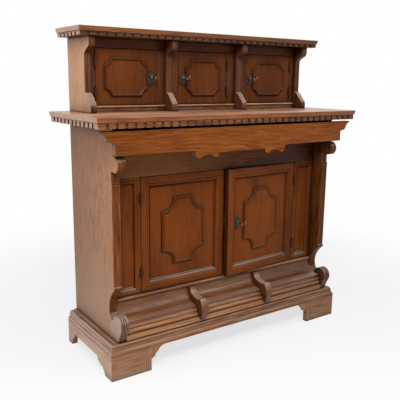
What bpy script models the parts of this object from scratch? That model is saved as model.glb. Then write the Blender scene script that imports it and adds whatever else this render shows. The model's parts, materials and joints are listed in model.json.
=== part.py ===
"""Credenza with hutch: a panelled cupboard with a frieze drawer, and a three-door hutch on its counter.

The frame is in metres with +Z up. The origin is on the floor, in the middle of the counter's width and
depth, and the front faces -Y. Depths are measured forward from the back plane, which stands against a wall.
"""

import math

import bmesh
import bpy
from mathutils import Vector

# Clearances
GLUE_GAP = 0.0003
HINGE_GAP = 0.003
LOCK_EDGE_GAP = 0.002
DOOR_END_GAP = 0.0025
DRAWER_SIDE_GAP = 0.004

# Lower case
CASE_WIDTH = 1.146
SIDE_THICKNESS = 0.035
SIDE_DEPTH = 0.384
BACK_THICKNESS = 0.012
DOOR_RECESS = 0.062
FRONT_THICKNESS = 0.025
STILE_WIDTH = 0.1185
STILE_BORDER = 0.0141
FLOOR_THICKNESS = 0.016
NOSING_PROJECTION = 0.014
LOWER_DOOR_HEIGHT = 0.480
FRIEZE_HEIGHT = 0.102
LOWER_DOOR_AJAR_DEGREES = 4.0

# Scrolled front edge of the lower side panels
ROLL_RADIUS = 0.031
ROLL_PROJECTION = 0.022
ROLL_CLEARANCE = 0.006
NECK_INSET = 0.004
NECK_LENGTH = 0.040
TOP_EDGE_PROJECTION = 0.016
BEAD_RADIUS = 0.0085
BEAD_RISE = 0.2087
SEAM_INSET = 0.0415
FOOT_HOLLOW = 0.0145
SEAM_HEIGHT = 0.0977
VOLUTE_RADIUS = 0.037
VOLUTE_PROJECTION = 0.021
VOLUTE_RISE = 0.0657

# Plinth
PLINTH_OVERHANG = 0.040
PLINTH_PROJECTION = 0.0507
PLINTH_BOARD = 0.025
FOOT_HEIGHT = 0.0985
PLINTH_MOULDING_HEIGHT = 0.0485
PLINTH_MOULDING_WIDTH = 0.060
PLINTH_BAND = 0.005
PLINTH_OVOLO_HEIGHT = 0.0205
PLINTH_OVOLO_SETBACK = 0.007
PLINTH_FILLET = 0.003
PLINTH_COVE_SETBACK = 0.0137
PLINTH_LEDGE_SETBACK = 0.022
PLINTH_LEDGE_DROP = 0.004
PLINTH_WEATHERING = 0.012
SIDE_RAIL_CLEARANCE = 0.057
REAR_FOOT_LENGTH = 0.039
REAR_FOOT_SWEEP = 0.032
FRONT_FOOT_LENGTH = 0.063
FRONT_FOOT_SWEEP = 0.071
FRONT_FOOT_WIDTH = 0.178
FOOT_END_HEIGHT = 0.048
FOOT_END_SWEEP = 0.062

# Cove and reeds over the plinth
BASE_MOULDING_HEIGHT = 0.127
BASE_MOULDING_BACK_INSET = 0.018
COVE_TOP_PROJECTION = 0.007
COVE_DROP = 0.0585
LIP_SETBACK = 0.0307
LIP_HEIGHT = 0.008
REED_HEIGHT = 0.0195
REED_STEP = 0.0045
REED_SWELL = 0.010
BASE_BRACKET_SPREAD = 0.178
BASE_BRACKET_WIDTH = 0.038
BRACKET_NOSE_DROP = 0.008
BRACKET_NOSE_PROJECTION = 0.012
BRACKET_NOSE_HEIGHT = 0.048
BRACKET_HEAD = 0.016
BRACKET_HEAD_SHARE = 0.7
BRACKET_TOE_SHARE = 0.4
BRACKET_TOE_RISE = 0.006
BAND_SLOPE = 0.002
REED_RELIEF = 0.001

# Frieze drawer
DRAWER_LIFT = 0.0045
DRAWER_FRONT_THICKNESS = 0.032
DRAWER_FRONT_CLEARANCE = 0.0135
DRAWER_FRONT_HEIGHT = 0.0895
DRAWER_FRONT_OVERHANG = 0.071
DRAWER_SHOULDER = 0.0125
DRAWER_TOP_GAP = 0.0095
DRAWER_BOX_HEIGHT = 0.078
DRAWER_SIDE_THICKNESS = 0.014
DRAWER_BOTTOM_THICKNESS = 0.008
DRAWER_BOTTOM_RISE = 0.010
DRAWER_BACK_SPACE = 0.038
PENDANT_SPREAD = 0.178
PENDANT_LOBE_SPREAD = 0.0385
PENDANT_LOBE_RADIUS = 0.018
PENDANT_DROP = 0.013
PENDANT_SHOULDER = 0.005
DUST_BOARD_THICKNESS = 0.014
RUNNER_RISE = 0.002

# Shelf in the lower case
SHELF_THICKNESS = 0.018
SHELF_RISE = 0.235
SHELF_SETBACK = 0.052

# Counter
COUNTER_OVERHANG = 0.089
COUNTER_PROJECTION = 0.079
COUNTER_SLAB = 0.019
COUNTER_CORE = 0.022
DENTIL_PITCH = 0.0373
DENTIL_GAP = 0.013
DENTIL_LAND = 0.004
DENTIL_THICKNESS = 0.014
DENTIL_SETBACK = 0.007
SLAB_UNDERCUT = 0.003
CORE_BACK_INSET = 0.004

# Hutch
HUTCH_SIDE_THICKNESS = 0.026
HUTCH_SIDE_DEPTH = 0.165
HUTCH_DOOR_RECESS = 0.017
HUTCH_FLOOR_HEIGHT = 0.0252
HUTCH_NOSING_PROJECTION = 0.012
HUTCH_NOSING_RADIUS = 0.0045
HUTCH_FLOOR_STEP = 0.004
HUTCH_DOOR_HEIGHT = 0.2223
HUTCH_FRIEZE_HEIGHT = 0.0395
HUTCH_STRIP_THICKNESS = 0.019
HUTCH_OUTER_STRIP = 0.024
HUTCH_INNER_STRIP = 0.041
PARTITION_SPREAD = 0.188
PARTITION_THICKNESS = 0.026
HUTCH_ROLL_RADIUS = 0.026
HUTCH_ROLL_PROJECTION = 0.021
HUTCH_ROLL_DROP = 0.022
HUTCH_SCROLL_PROJECTION = 0.052
HUTCH_SCROLL_HEIGHT = 0.078
HUTCH_NOSE_RISE = 0.0214
HUTCH_LEDGE = 0.013
HUTCH_NECK = 0.016
HUTCH_TOP_OVERHANG = 0.0487
HUTCH_TOP_PROJECTION = 0.0704
HUTCH_SLAB = 0.018
HUTCH_CORE = 0.016

# Doors
DOOR_BORDER = 0.030
DOOR_MOULDING = 0.017
DOOR_FIELD_DEPTH = 0.0125
DOOR_FIELD_THICKNESS = 0.006
DOOR_REBATE = 0.010
RAISED_HEIGHT = 0.008
RAISED_EDGE = 0.009
RAISED_ROOT = 0.002
LOWER_RAISED_WIDTH = 0.212
LOWER_RAISED_HEIGHT = 0.289
LOWER_SCOOP_RADIUS = 0.047
LOWER_SCOOP_SHOULDER = 0.010
HUTCH_DOOR_THICKNESS = 0.022
HUTCH_RAISED_MARGIN = 0.037
HUTCH_RAISED_END_MARGIN = 0.033
HUTCH_SCOOP_RADIUS = 0.046
HUTCH_SCOOP_FLATNESS = 0.013
SCOOP_STEPS = 5

# Hinges, locks and keys
BARREL_RADIUS = 0.0045
BARREL_HEIGHT = 0.038
PIN_RADIUS = 0.0018
PIN_CLEARANCE = 0.0003
LEAF_THICKNESS = 0.001
LEAF_DEPTH = 0.018
LEAF_PLAY = 0.0002
STRAP_INSET = 0.0001
STRAP_FRONT = 0.008
STRAP_BACK = 0.016
LOWER_HINGE_INSET = 0.085
HUTCH_HINGE_INSET = 0.052
LOWER_BACKSET = 0.062
HUTCH_BACKSET = 0.022
ESCUTCHEON_WIDTH = 0.025
ESCUTCHEON_HEIGHT = 0.046
ESCUTCHEON_WAIST = 0.14
ESCUTCHEON_THICKNESS = 0.0015
TUBE_RADIUS = 0.0045
TUBE_BORE = 0.0036
TUBE_HOLE = 0.0051
SHANK_RADIUS = 0.0028
KEY_REACH = 0.060
BOW_RADIUS = 0.0105
BOW_WIRE = 0.0023
COLLAR_RADIUS = 0.0045
COLLAR_LENGTH = 0.004
BIT_LENGTH = 0.010
BIT_WIDTH = 0.003
LOCK_FACE_DEPTH = 0.0192
LOCK_INSET = 0.001
LOCK_CAP = 0.001
LOCK_CAVITY = 0.008
LOCK_WALL = 0.002
LOCK_TAIL = 0.019
BOLT_HEIGHT = 0.012
BOLT_RISE = 0.006
BOLT_THICKNESS = 0.0058
BOLT_PLAY = 0.0005
TALON_WIDTH = 0.0095
TALON_DEPTH = 0.005
KEEPER_LENGTH = 0.022
ROUND_SIDES = 12

# Finishes: colour, roughness and metallic value
WOOD_PALE = ((0.330, 0.190, 0.105), 0.55, 0.0)
WOOD_BROWN = ((0.205, 0.088, 0.032), 0.50, 0.0)
WOOD_RED = ((0.150, 0.052, 0.020), 0.48, 0.0)
WOOD_RAW = ((0.400, 0.255, 0.135), 0.75, 0.0)
IRON_DARK = ((0.030, 0.027, 0.024), 0.55, 0.9)
BRASS_AGED = ((0.170, 0.125, 0.070), 0.45, 0.9)

# Depths forward from the back plane
DOOR_PLANE = SIDE_DEPTH - DOOR_RECESS
PLINTH_DEPTH = SIDE_DEPTH + PLINTH_PROJECTION
COUNTER_DEPTH = SIDE_DEPTH + COUNTER_PROJECTION
DRAWER_BACK_FACE = SIDE_DEPTH + TOP_EDGE_PROJECTION + DRAWER_FRONT_CLEARANCE
DRAWER_FACE = DRAWER_BACK_FACE + DRAWER_FRONT_THICKNESS
INSIDE_BACK = BACK_THICKNESS + GLUE_GAP
HUTCH_DOOR_PLANE = HUTCH_SIDE_DEPTH - HUTCH_DOOR_RECESS
HUTCH_TOP_DEPTH = HUTCH_SIDE_DEPTH + HUTCH_TOP_PROJECTION
BACK_Y = COUNTER_DEPTH / 2

# Half widths
CASE_HALF = CASE_WIDTH / 2
INSIDE_HALF = CASE_HALF - SIDE_THICKNESS
FITTED_HALF = INSIDE_HALF - GLUE_GAP
PLINTH_HALF = CASE_HALF + PLINTH_OVERHANG
COUNTER_HALF = CASE_HALF + COUNTER_OVERHANG
OPENING_HALF = FITTED_HALF - STILE_WIDTH
DRAWER_HALF = INSIDE_HALF - DRAWER_SIDE_GAP
HUTCH_HALF = CASE_HALF
HUTCH_INSIDE = HUTCH_HALF - HUTCH_SIDE_THICKNESS
HUTCH_TOP_HALF = HUTCH_HALF + HUTCH_TOP_OVERHANG
PARTITION_INNER = PARTITION_SPREAD - PARTITION_THICKNESS / 2
PARTITION_OUTER = PARTITION_SPREAD + PARTITION_THICKNESS / 2

# Heights above the floor
PLINTH_TOP = FOOT_HEIGHT + PLINTH_MOULDING_HEIGHT
PANEL_BASE = PLINTH_TOP + GLUE_GAP
BASE_TOP = PLINTH_TOP + BASE_MOULDING_HEIGHT
FLOOR_TOP = BASE_TOP + FLOOR_THICKNESS
LOWER_DOOR_BASE = FLOOR_TOP + DOOR_END_GAP
LOWER_DOOR_TOP = LOWER_DOOR_BASE + LOWER_DOOR_HEIGHT
FRIEZE_BASE = LOWER_DOOR_TOP + DOOR_END_GAP
FRIEZE_TOP = FRIEZE_BASE + FRIEZE_HEIGHT
DRAWER_BASE = FRIEZE_TOP + DRAWER_LIFT
DRAWER_TOP = DRAWER_BASE + DRAWER_FRONT_HEIGHT
RUNNER_TOP = DRAWER_BASE + RUNNER_RISE
CORE_BASE = DRAWER_TOP + DRAWER_TOP_GAP
PANEL_TOP = CORE_BASE - GLUE_GAP
SLAB_BASE = CORE_BASE + COUNTER_CORE
COUNTER_TOP = SLAB_BASE + COUNTER_SLAB
HUTCH_BASE = COUNTER_TOP + GLUE_GAP
HUTCH_FLOOR_TOP = HUTCH_BASE + HUTCH_FLOOR_HEIGHT
HUTCH_DOOR_BASE = HUTCH_FLOOR_TOP + DOOR_END_GAP
HUTCH_DOOR_TOP = HUTCH_DOOR_BASE + HUTCH_DOOR_HEIGHT
HUTCH_FRIEZE_BASE = HUTCH_DOOR_TOP + DOOR_END_GAP
HUTCH_CORE_BASE = HUTCH_FRIEZE_BASE + HUTCH_FRIEZE_HEIGHT
HUTCH_SLAB_BASE = HUTCH_CORE_BASE + HUTCH_CORE
HUTCH_PANEL_TOP = HUTCH_CORE_BASE - GLUE_GAP

# Hinge axis, ahead of a door's front face
PIN_STANDOFF = BARREL_RADIUS + GLUE_GAP


def y_at(depth):
    """Y of a depth forward from the back plane."""
    return BACK_Y - depth


def along_x(depth, height, x):
    """Point of a depth-and-height outline at a station along X."""
    return Vector((x, y_at(depth), height))


def along_depth(x, height, depth):
    """Point of a width-and-height outline at a depth."""
    return Vector((x, y_at(depth), height))


def along_z(x, depth, height):
    """Point of a plan outline at a height."""
    return Vector((x, y_at(depth), height))


def arc(centre, radius, start, end, steps):
    """Points on a circular arc between two angles in degrees."""
    points = []
    for step in range(steps + 1):
        angle = math.radians(start + (end - start) * step / steps)
        points.append((centre[0] + radius * math.cos(angle), centre[1] + radius * math.sin(angle)))
    return points


def curve(start, control, end, steps):
    """Points on a quadratic curve that leaves start and reaches end towards one control point."""
    points = []
    for step in range(steps + 1):
        t = step / steps
        a, b, c = (1 - t) ** 2, 2 * t * (1 - t), t ** 2
        points.append(tuple(a * s + b * k + c * e for s, k, e in zip(start, control, end)))
    return points


def add_prism(bm, outline, place, low, high):
    """Add a solid that runs an outline from one station to another."""
    first = bm.faces.new([bm.verts.new(place(a, b, low)) for a, b in outline])
    swept = bmesh.ops.extrude_face_region(bm, geom=[first], use_keep_orig=True)
    moved = [item for item in swept["geom"] if isinstance(item, bmesh.types.BMVert)]
    shift = place(*outline[0], high) - place(*outline[0], low)
    bmesh.ops.translate(bm, verts=moved, vec=shift)


def add_box(bm, low, high):
    """Add a box between two corners, each given as x, depth and height."""
    corners = [(low[0], low[1]), (high[0], low[1]), (high[0], high[1]), (low[0], high[1])]
    add_prism(bm, corners, along_z, low[2], high[2])


def add_loops(bm, loops, closed_ring=False):
    """Add a solid through a row of loops: a closed ring, or a stack with capped ends."""
    rings = [[bm.verts.new(point) for point in loop] for loop in loops]
    pairs = list(zip(rings, rings[1:]))
    if closed_ring:
        pairs.append((rings[-1], rings[0]))
    for lower, upper in pairs:
        for index in range(len(lower)):
            following = (index + 1) % len(lower)
            bm.faces.new((lower[index], lower[following], upper[following], upper[index]))
    if not closed_ring:
        bm.faces.new(rings[0])
        bm.faces.new(rings[-1])


def make_material(name, finish):
    """Material of one piece, from its finish."""
    colour, roughness, metallic = finish
    material = bpy.data.materials.new(name)
    material.use_nodes = True
    shader = material.node_tree.nodes["Principled BSDF"]
    shader.inputs["Base Color"].default_value = (*colour, 1.0)
    shader.inputs["Roughness"].default_value = roughness
    shader.inputs["Metallic"].default_value = metallic
    return material


def make_object(name, bm, parent=None, location=(0.0, 0.0, 0.0)):
    """Object that holds a finished mesh, with its faces pointing out."""
    bmesh.ops.recalc_face_normals(bm, faces=bm.faces[:])
    mesh = bpy.data.meshes.new(name)
    bm.to_mesh(mesh)
    bm.free()
    obj = bpy.data.objects.new(name, mesh)
    bpy.context.scene.collection.objects.link(obj)
    obj.parent = parent
    obj.location = location
    return obj


def make_node(name, bm, finish, parent=None, location=(0.0, 0.0, 0.0), rounded=False):
    """One piece of the object, with its material."""
    obj = make_object(name, bm, parent, location)
    obj.data.materials.append(make_material(name, finish))
    if rounded:
        obj.data.shade_smooth()
        obj.data.set_sharp_from_angle(angle=math.radians(40))
    return obj


def combine(target, tool_bm, operation, parent=None, location=(0.0, 0.0, 0.0)):
    """Cut a tool shape out of a piece, or join it on."""
    tool = make_object(target.name + "_" + operation.lower(), tool_bm, parent, location)
    tool.hide_render = True
    tool.display_type = "WIRE"
    modifier = target.modifiers.new(operation.title(), "BOOLEAN")
    modifier.operation = operation
    modifier.solver = "EXACT"
    modifier.object = tool


def prism_node(name, outline, place, span, finish, rounded=False):
    """A piece that runs one outline between two stations."""
    bm = bmesh.new()
    add_prism(bm, outline, place, span[0], span[1])
    return make_node(name, bm, finish, rounded=rounded)


def box_node(name, low, high, finish):
    """A plain board between two corners."""
    bm = bmesh.new()
    add_box(bm, low, high)
    return make_node(name, bm, finish)


def clear_scene():
    """Remove what the scene holds."""
    for obj in list(bpy.data.objects):
        bpy.data.objects.remove(obj, do_unlink=True)


# Plinth

def plinth_side_outline():
    """Side board of the plinth, sawn out between a rear and a front bracket foot."""
    board_end = PLINTH_DEPTH - PLINTH_BOARD / 2
    heel = PLINTH_DEPTH - FRONT_FOOT_LENGTH
    rear = REAR_FOOT_LENGTH
    back, front = REAR_FOOT_SWEEP, FRONT_FOOT_SWEEP
    rail = SIDE_RAIL_CLEARANCE
    knee = (rear + back * 0.5, rail * 0.60)
    calf = (heel - front * 0.5, rail * 0.54)
    outline = [(0.0, 0.0)]
    outline += curve((rear, 0.0), (rear + back * 0.1, rail * 0.52), knee, 4)
    outline += curve(knee, (rear + back * 0.9, rail * 0.68), (rear + back, rail), 4)[1:]
    outline += curve((heel - front, rail), (heel - front * 0.94, rail * 0.62), calf, 4)
    outline += curve(calf, (heel - front * 0.06, rail * 0.46), (heel, 0.0), 4)[1:]
    outline += [(board_end, 0.0), (board_end, FOOT_HEIGHT), (0.0, FOOT_HEIGHT)]
    return outline


def front_foot_outline(side):
    """Front bracket foot, from the outer corner to its stepped and scooped inner end."""
    inner = PLINTH_HALF - FRONT_FOOT_WIDTH
    rise = FOOT_HEIGHT - FOOT_END_HEIGHT
    sweep = FOOT_END_SWEEP
    first = (inner - sweep * 0.27, FOOT_END_HEIGHT + rise * 0.21)
    second = (inner - sweep * 0.48, FOOT_END_HEIGHT + rise * 0.53)
    third = (inner - sweep * 0.53, FOOT_END_HEIGHT + rise * 0.62)
    outline = [(PLINTH_HALF, 0.0), (inner, 0.0), (inner, FOOT_END_HEIGHT)]
    outline += curve(first, (inner - sweep * 0.31, FOOT_END_HEIGHT + rise * 0.47), second, 3)
    outline += curve(third, (inner - sweep * 0.60, FOOT_END_HEIGHT + rise * 0.92),
                     (inner - sweep, FOOT_HEIGHT), 3)
    outline.append((PLINTH_HALF, FOOT_HEIGHT))
    return [(side * x, z) for x, z in outline]


def plinth_moulding_profile():
    """Plinth moulding: inset from the outer face, and height."""
    base = FOOT_HEIGHT + GLUE_GAP
    top = PLINTH_TOP
    ovolo = (PLINTH_OVOLO_SETBACK, base + PLINTH_OVOLO_HEIGHT)
    fillet = (PLINTH_OVOLO_SETBACK, ovolo[1] + PLINTH_FILLET)
    ledge = top - PLINTH_LEDGE_DROP
    band = (0.0, base + PLINTH_BAND)
    swell = (0.0, (band[1] + ovolo[1]) / 2 + PLINTH_FILLET)
    hollow = (fillet[0], (fillet[1] + ledge) / 2 + PLINTH_FILLET)
    profile = [(0.0, base)]
    profile += curve(band, swell, ovolo, 3)
    profile += curve(fillet, hollow, (PLINTH_COVE_SETBACK, ledge), 3)
    profile += [(PLINTH_LEDGE_SETBACK, ledge), (PLINTH_LEDGE_SETBACK + PLINTH_WEATHERING, top)]
    return profile + [(PLINTH_MOULDING_WIDTH, top), (PLINTH_MOULDING_WIDTH, base)]


def plinth_corner(side):
    """Plinth corner: a side board, glued into the back of its front foot."""
    span = sorted((side * PLINTH_HALF, side * (PLINTH_HALF - PLINTH_BOARD)))
    bm = bmesh.new()
    add_prism(bm, front_foot_outline(side), along_depth, PLINTH_DEPTH - PLINTH_BOARD, PLINTH_DEPTH)
    name = "plinth_left_base" if side < 0 else "plinth_right_base"
    corner = make_node(name, bm, WOOD_PALE)
    board = bmesh.new()
    add_prism(board, plinth_side_outline(), along_x, span[0], span[1])
    combine(corner, board, "UNION")


def build_plinth():
    """Two plinth corners, and the moulded frame that lies on them."""
    plinth_corner(-1)
    plinth_corner(1)
    loops = []
    for inset, height in plinth_moulding_profile():
        back = inset if inset == PLINTH_MOULDING_WIDTH else 0.0
        half, front = PLINTH_HALF - inset, PLINTH_DEPTH - inset
        corners = [(-half, front), (half, front), (half, back), (-half, back)]
        loops.append([along_z(x, depth, height) for x, depth in corners])
    bm = bmesh.new()
    add_loops(bm, loops, closed_ring=True)
    make_node("plinth_moulding", bm, WOOD_BROWN)


# Lower case

def roll_centre():
    """Centre of the roll at the head of a side panel, under the drawer front."""
    return (SIDE_DEPTH + ROLL_PROJECTION, DRAWER_BASE - ROLL_CLEARANCE - ROLL_RADIUS)


def volute_centre():
    """Centre of the volute at the foot of a side panel."""
    return (SIDE_DEPTH + VOLUTE_PROJECTION, PANEL_BASE + VOLUTE_RISE)


def side_panel_outline():
    """Side panel: back edge, seam of the volute block, scrolled foot, straight edge, neck and roll."""
    edge = SIDE_DEPTH
    seam = edge - SEAM_INSET
    seam_top = PANEL_BASE + SEAM_HEIGHT
    bead = (edge - NECK_INSET, PANEL_BASE + BEAD_RISE)
    roll = roll_centre()
    neck_top = roll[1] - ROLL_RADIUS
    slant = (bead[0] - BEAD_RADIUS / 2, bead[1] - BEAD_RADIUS * 1.7)
    outline = [(0.0, PANEL_BASE), (seam, PANEL_BASE)]
    outline += curve((seam, seam_top), (seam - FOOT_HOLLOW, (seam_top + slant[1]) / 2), slant, 7)
    outline += arc(bead, BEAD_RADIUS, -60, 70, 4)
    outline += [(edge, bead[1] + BEAD_RADIUS * 2), (edge, neck_top - NECK_LENGTH)]
    outline += [(edge - NECK_INSET, neck_top - NECK_LENGTH), (edge - NECK_INSET, neck_top)]
    outline += arc(roll, ROLL_RADIUS, -125, 95, 12)
    top_edge = edge + TOP_EDGE_PROJECTION
    outline += [(top_edge, roll[1] + ROLL_RADIUS), (top_edge, PANEL_TOP), (0.0, PANEL_TOP)]
    return outline


def volute_outline():
    """Volute block, glued to the foot of a side panel along its seam."""
    seam = SIDE_DEPTH - SEAM_INSET + GLUE_GAP
    centre = volute_centre()
    cusp = (centre[0] - VOLUTE_RADIUS * 1.24, centre[1] + VOLUTE_RADIUS * 0.14)
    toe = centre[0] + VOLUTE_RADIUS * 0.24
    outline = [(seam, PANEL_BASE)]
    eye = (seam + VOLUTE_RADIUS * 0.11, cusp[1] + VOLUTE_RADIUS * 0.38)
    outline += curve((seam, PANEL_BASE + SEAM_HEIGHT), eye, cusp, 3)
    outline += arc(centre, VOLUTE_RADIUS, 155, -40, 12)
    outline.append((toe, PANEL_BASE))
    return outline


def reed_levels():
    """Depth and height of the lip and of each reed's upper edge, going down the base moulding."""
    lip = PLINTH_DEPTH - LIP_SETBACK
    top = BASE_TOP - COVE_DROP - LIP_HEIGHT
    return lip, [(lip + REED_STEP * index, top - REED_HEIGHT * index) for index in range(2)]


def cove_points(inset):
    """Quarter-round cove, moved out of the wood by an inset."""
    top_depth = DOOR_PLANE + COVE_TOP_PROJECTION
    lip, _ = reed_levels()
    across = lip - top_depth - inset
    down = COVE_DROP - inset
    points = []
    for step in range(9):
        angle = math.radians(90 * step / 8)
        points.append((lip - across * math.cos(angle), BASE_TOP - down * math.sin(angle)))
    return points


def base_moulding_outline():
    """Cove, lip, two reeds and a foot band, from the cupboard floor to the plinth."""
    lip, reeds = reed_levels()
    back = DOOR_PLANE - BASE_MOULDING_BACK_INSET
    outline = [(back, PANEL_BASE), (back, BASE_TOP - GLUE_GAP)]
    outline += [(depth, min(height, BASE_TOP - GLUE_GAP)) for depth, height in cove_points(0.0)]
    outline.append((lip, reeds[0][1]))
    for depth, height in reeds:
        swell = (depth + REED_SWELL, height - REED_HEIGHT / 2)
        foot = (depth + REED_RELIEF, height - REED_HEIGHT)
        outline += curve((depth - REED_RELIEF, height - REED_RELIEF), swell, foot, 4)
    band = reeds[-1][0] + REED_STEP * 2
    outline += [(band, reeds[-1][1] - REED_HEIGHT - BAND_SLOPE), (band + BAND_SLOPE, PANEL_BASE)]
    return outline


def base_bracket_outline():
    """S-scroll bracket, scribed to the cove, the reeds and the foot band behind it."""
    lip, reeds = reed_levels()
    play = GLUE_GAP * 2
    head = BASE_TOP - play
    crest = DOOR_PLANE + COVE_TOP_PROJECTION
    foot = PANEL_BASE + BRACKET_TOE_RISE
    band = reeds[-1][0] + REED_STEP * 2 + BAND_SLOPE
    nose = (band, reeds[0][1] - BRACKET_NOSE_DROP)
    outline = [(depth, min(height, head)) for depth, height in cove_points(play)]
    outline.append((lip + play, BASE_TOP - COVE_DROP + play))
    for depth, height in reeds:
        outline += [(depth + play, height), (depth + REED_STEP + REED_RELIEF + play, height)]
    last_reed = reeds[-1][1] - REED_HEIGHT + play
    outline += [(outline[-1][0], last_reed), (band + play, last_reed), (band + play, foot)]
    toe = math.degrees(math.asin((foot - nose[1]) / BRACKET_NOSE_HEIGHT))
    for step in range(10):
        turn = math.radians(toe + (120 - toe) * step / 9)
        outline.append((nose[0] + BRACKET_NOSE_PROJECTION * math.cos(turn),
                        nose[1] + BRACKET_NOSE_HEIGHT * math.sin(turn)))
    hollow = (crest + BRACKET_HEAD * 1.1, outline[-1][1] + BRACKET_HEAD * 0.3)
    return outline + curve(outline[-1], hollow, (crest + BRACKET_HEAD, head), 5)[1:]


def bracket_share(height):
    """Share of the full width that a base bracket has at a height: a narrow head, and a toe that tapers."""
    reeds = reed_levels()[1]
    shoulder = reeds[0][1]
    if height > shoulder:
        return 1.0 - (1.0 - BRACKET_HEAD_SHARE) * (height - shoulder) / (BASE_TOP - shoulder)
    return BRACKET_TOE_SHARE + (1.0 - BRACKET_TOE_SHARE) * (height - PANEL_BASE) / (shoulder - PANEL_BASE)


def build_base_bracket(name, middle):
    """One S-scroll bracket, narrowed at its head and its toe."""
    bm = bmesh.new()
    half = BASE_BRACKET_WIDTH / 2
    add_prism(bm, base_bracket_outline(), along_x, -half, half)
    for vert in bm.verts:
        vert.co.x = middle + vert.co.x * bracket_share(vert.co.z)
    make_node(name, bm, WOOD_BROWN, rounded=True)


def floor_outline():
    """Cupboard floor with its rounded nosing."""
    front = DOOR_PLANE + NOSING_PROJECTION
    radius = FLOOR_THICKNESS / 2
    outline = [(INSIDE_BACK, FLOOR_TOP), (INSIDE_BACK, BASE_TOP)]
    outline += arc((front - radius, BASE_TOP + radius), radius, -90, 90, 6)
    return outline


def build_lower_case():
    """Side panels, volutes, floor, base moulding, brackets, back, frieze rail, shelf and dust board."""
    for name, side in (("left", -1), ("right", 1)):
        span = sorted((side * CASE_HALF, side * INSIDE_HALF))
        prism_node(name + "_side_panel", side_panel_outline(), along_x, span, WOOD_PALE)
        prism_node(name + "_foot_volute", volute_outline(), along_x, span, WOOD_PALE, rounded=True)
        build_base_bracket(name + "_base_bracket", side * BASE_BRACKET_SPREAD)
    full = (-FITTED_HALF, FITTED_HALF)
    prism_node("cupboard_floor", floor_outline(), along_x, full, WOOD_BROWN)
    prism_node("base_moulding", base_moulding_outline(), along_x, full, WOOD_BROWN)
    box_node("lower_back", (-FITTED_HALF, 0.0, PANEL_BASE), (FITTED_HALF, BACK_THICKNESS, PANEL_TOP), WOOD_RAW)
    rail_back = DOOR_PLANE - FRONT_THICKNESS
    rail_end = (FITTED_HALF, DOOR_PLANE, FRIEZE_TOP)
    box_node("frieze_rail", (-FITTED_HALF, rail_back, FRIEZE_BASE), rail_end, WOOD_RED)
    shelf_base = FLOOR_TOP + SHELF_RISE
    shelf_end = (FITTED_HALF, DOOR_PLANE - SHELF_SETBACK, shelf_base + SHELF_THICKNESS)
    box_node("cupboard_shelf", (-FITTED_HALF, INSIDE_BACK, shelf_base), shelf_end, WOOD_RAW)
    board_start = (-FITTED_HALF, INSIDE_BACK, RUNNER_TOP - DUST_BOARD_THICKNESS)
    board_end = (FITTED_HALF, rail_back - GLUE_GAP, RUNNER_TOP)
    box_node("drawer_dust_board", board_start, board_end, WOOD_RAW)


def moulding_profile():
    """Inset and depth of the doors' inner moulding: border, ovolo, groove and bead."""
    start, width, drop = DOOR_BORDER, DOOR_MOULDING, DOOR_FIELD_DEPTH
    profile = [(0.0, 0.0), (start, 0.0)]
    profile += curve((start + width * 0.07, drop * 0.10), (start + width * 0.53, drop * 0.04),
                     (start + width * 0.62, drop * 0.52), 3)
    profile += [(start + width * 0.73, drop * 0.68), (start + width * 0.85, drop * 0.62)]
    return profile + [(start + width, drop * 0.88)]


def rectangle(low, high, inset):
    """Corners of an inset rectangle, going round."""
    left, right = low[0] + inset, high[0] - inset
    base, top = low[1] + inset, high[1] - inset
    return [(left, base), (right, base), (right, top), (left, top)]


def build_stile_panels():
    """Narrow fixed panels between the side panels and the lower doors."""
    narrower = DOOR_BORDER - STILE_BORDER
    profile = [(inset - narrower if inset else 0.0, depth) for inset, depth in moulding_profile()]
    base, top = FLOOR_TOP + GLUE_GAP, FRIEZE_BASE - GLUE_GAP
    for name, side in (("left_stile_panel", -1), ("right_stile_panel", 1)):
        span = sorted((side * OPENING_HALF, side * FITTED_HALF))
        low, high = (span[0], base), (span[1], top)
        loops = [[along_depth(x, z, DOOR_PLANE - FRONT_THICKNESS) for x, z in rectangle(low, high, 0.0)]]
        for inset, depth in profile:
            loops.append([along_depth(x, z, DOOR_PLANE - depth) for x, z in rectangle(low, high, inset)])
        bm = bmesh.new()
        add_loops(bm, loops)
        make_node(name, bm, WOOD_RED)


# Frieze drawer

def drawer_front_half():
    """Right half of the drawer front: shaped end, then the pendant lower edge up to the middle."""
    reach = DRAWER_FRONT_OVERHANG
    end = CASE_HALF + reach
    shoulder = CASE_HALF + DRAWER_SHOULDER
    drop = DRAWER_FRONT_HEIGHT
    top = DRAWER_TOP
    points = [(end, top)]
    points += curve((end - reach * 0.01, top - drop * 0.06), (end - reach * 0.25, top - drop * 0.10),
                    (end - reach * 0.34, top - drop * 0.28), 4)
    points += curve((end - reach * 0.37, top - drop * 0.32), (end - reach * 0.42, top - drop * 0.46),
                    (end - reach * 0.65, top - drop * 0.475), 3)
    points += [(shoulder, top - drop * 0.49), (shoulder, DRAWER_BASE)]
    lobe_centre = DRAWER_BASE - PENDANT_DROP
    outer = PENDANT_SPREAD + PENDANT_LOBE_SPREAD
    inner = PENDANT_SPREAD - PENDANT_LOBE_SPREAD
    radius = PENDANT_LOBE_RADIUS
    points.append((outer + radius + PENDANT_SHOULDER, DRAWER_BASE))
    valley = lobe_centre - PENDANT_SHOULDER
    points += arc((outer, lobe_centre), radius, 0, -150, 7)
    points += [(PENDANT_SPREAD + PENDANT_SHOULDER, valley), (PENDANT_SPREAD - PENDANT_SHOULDER, valley)]
    points += arc((inner, lobe_centre), radius, -30, -180, 7)
    return points


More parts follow.
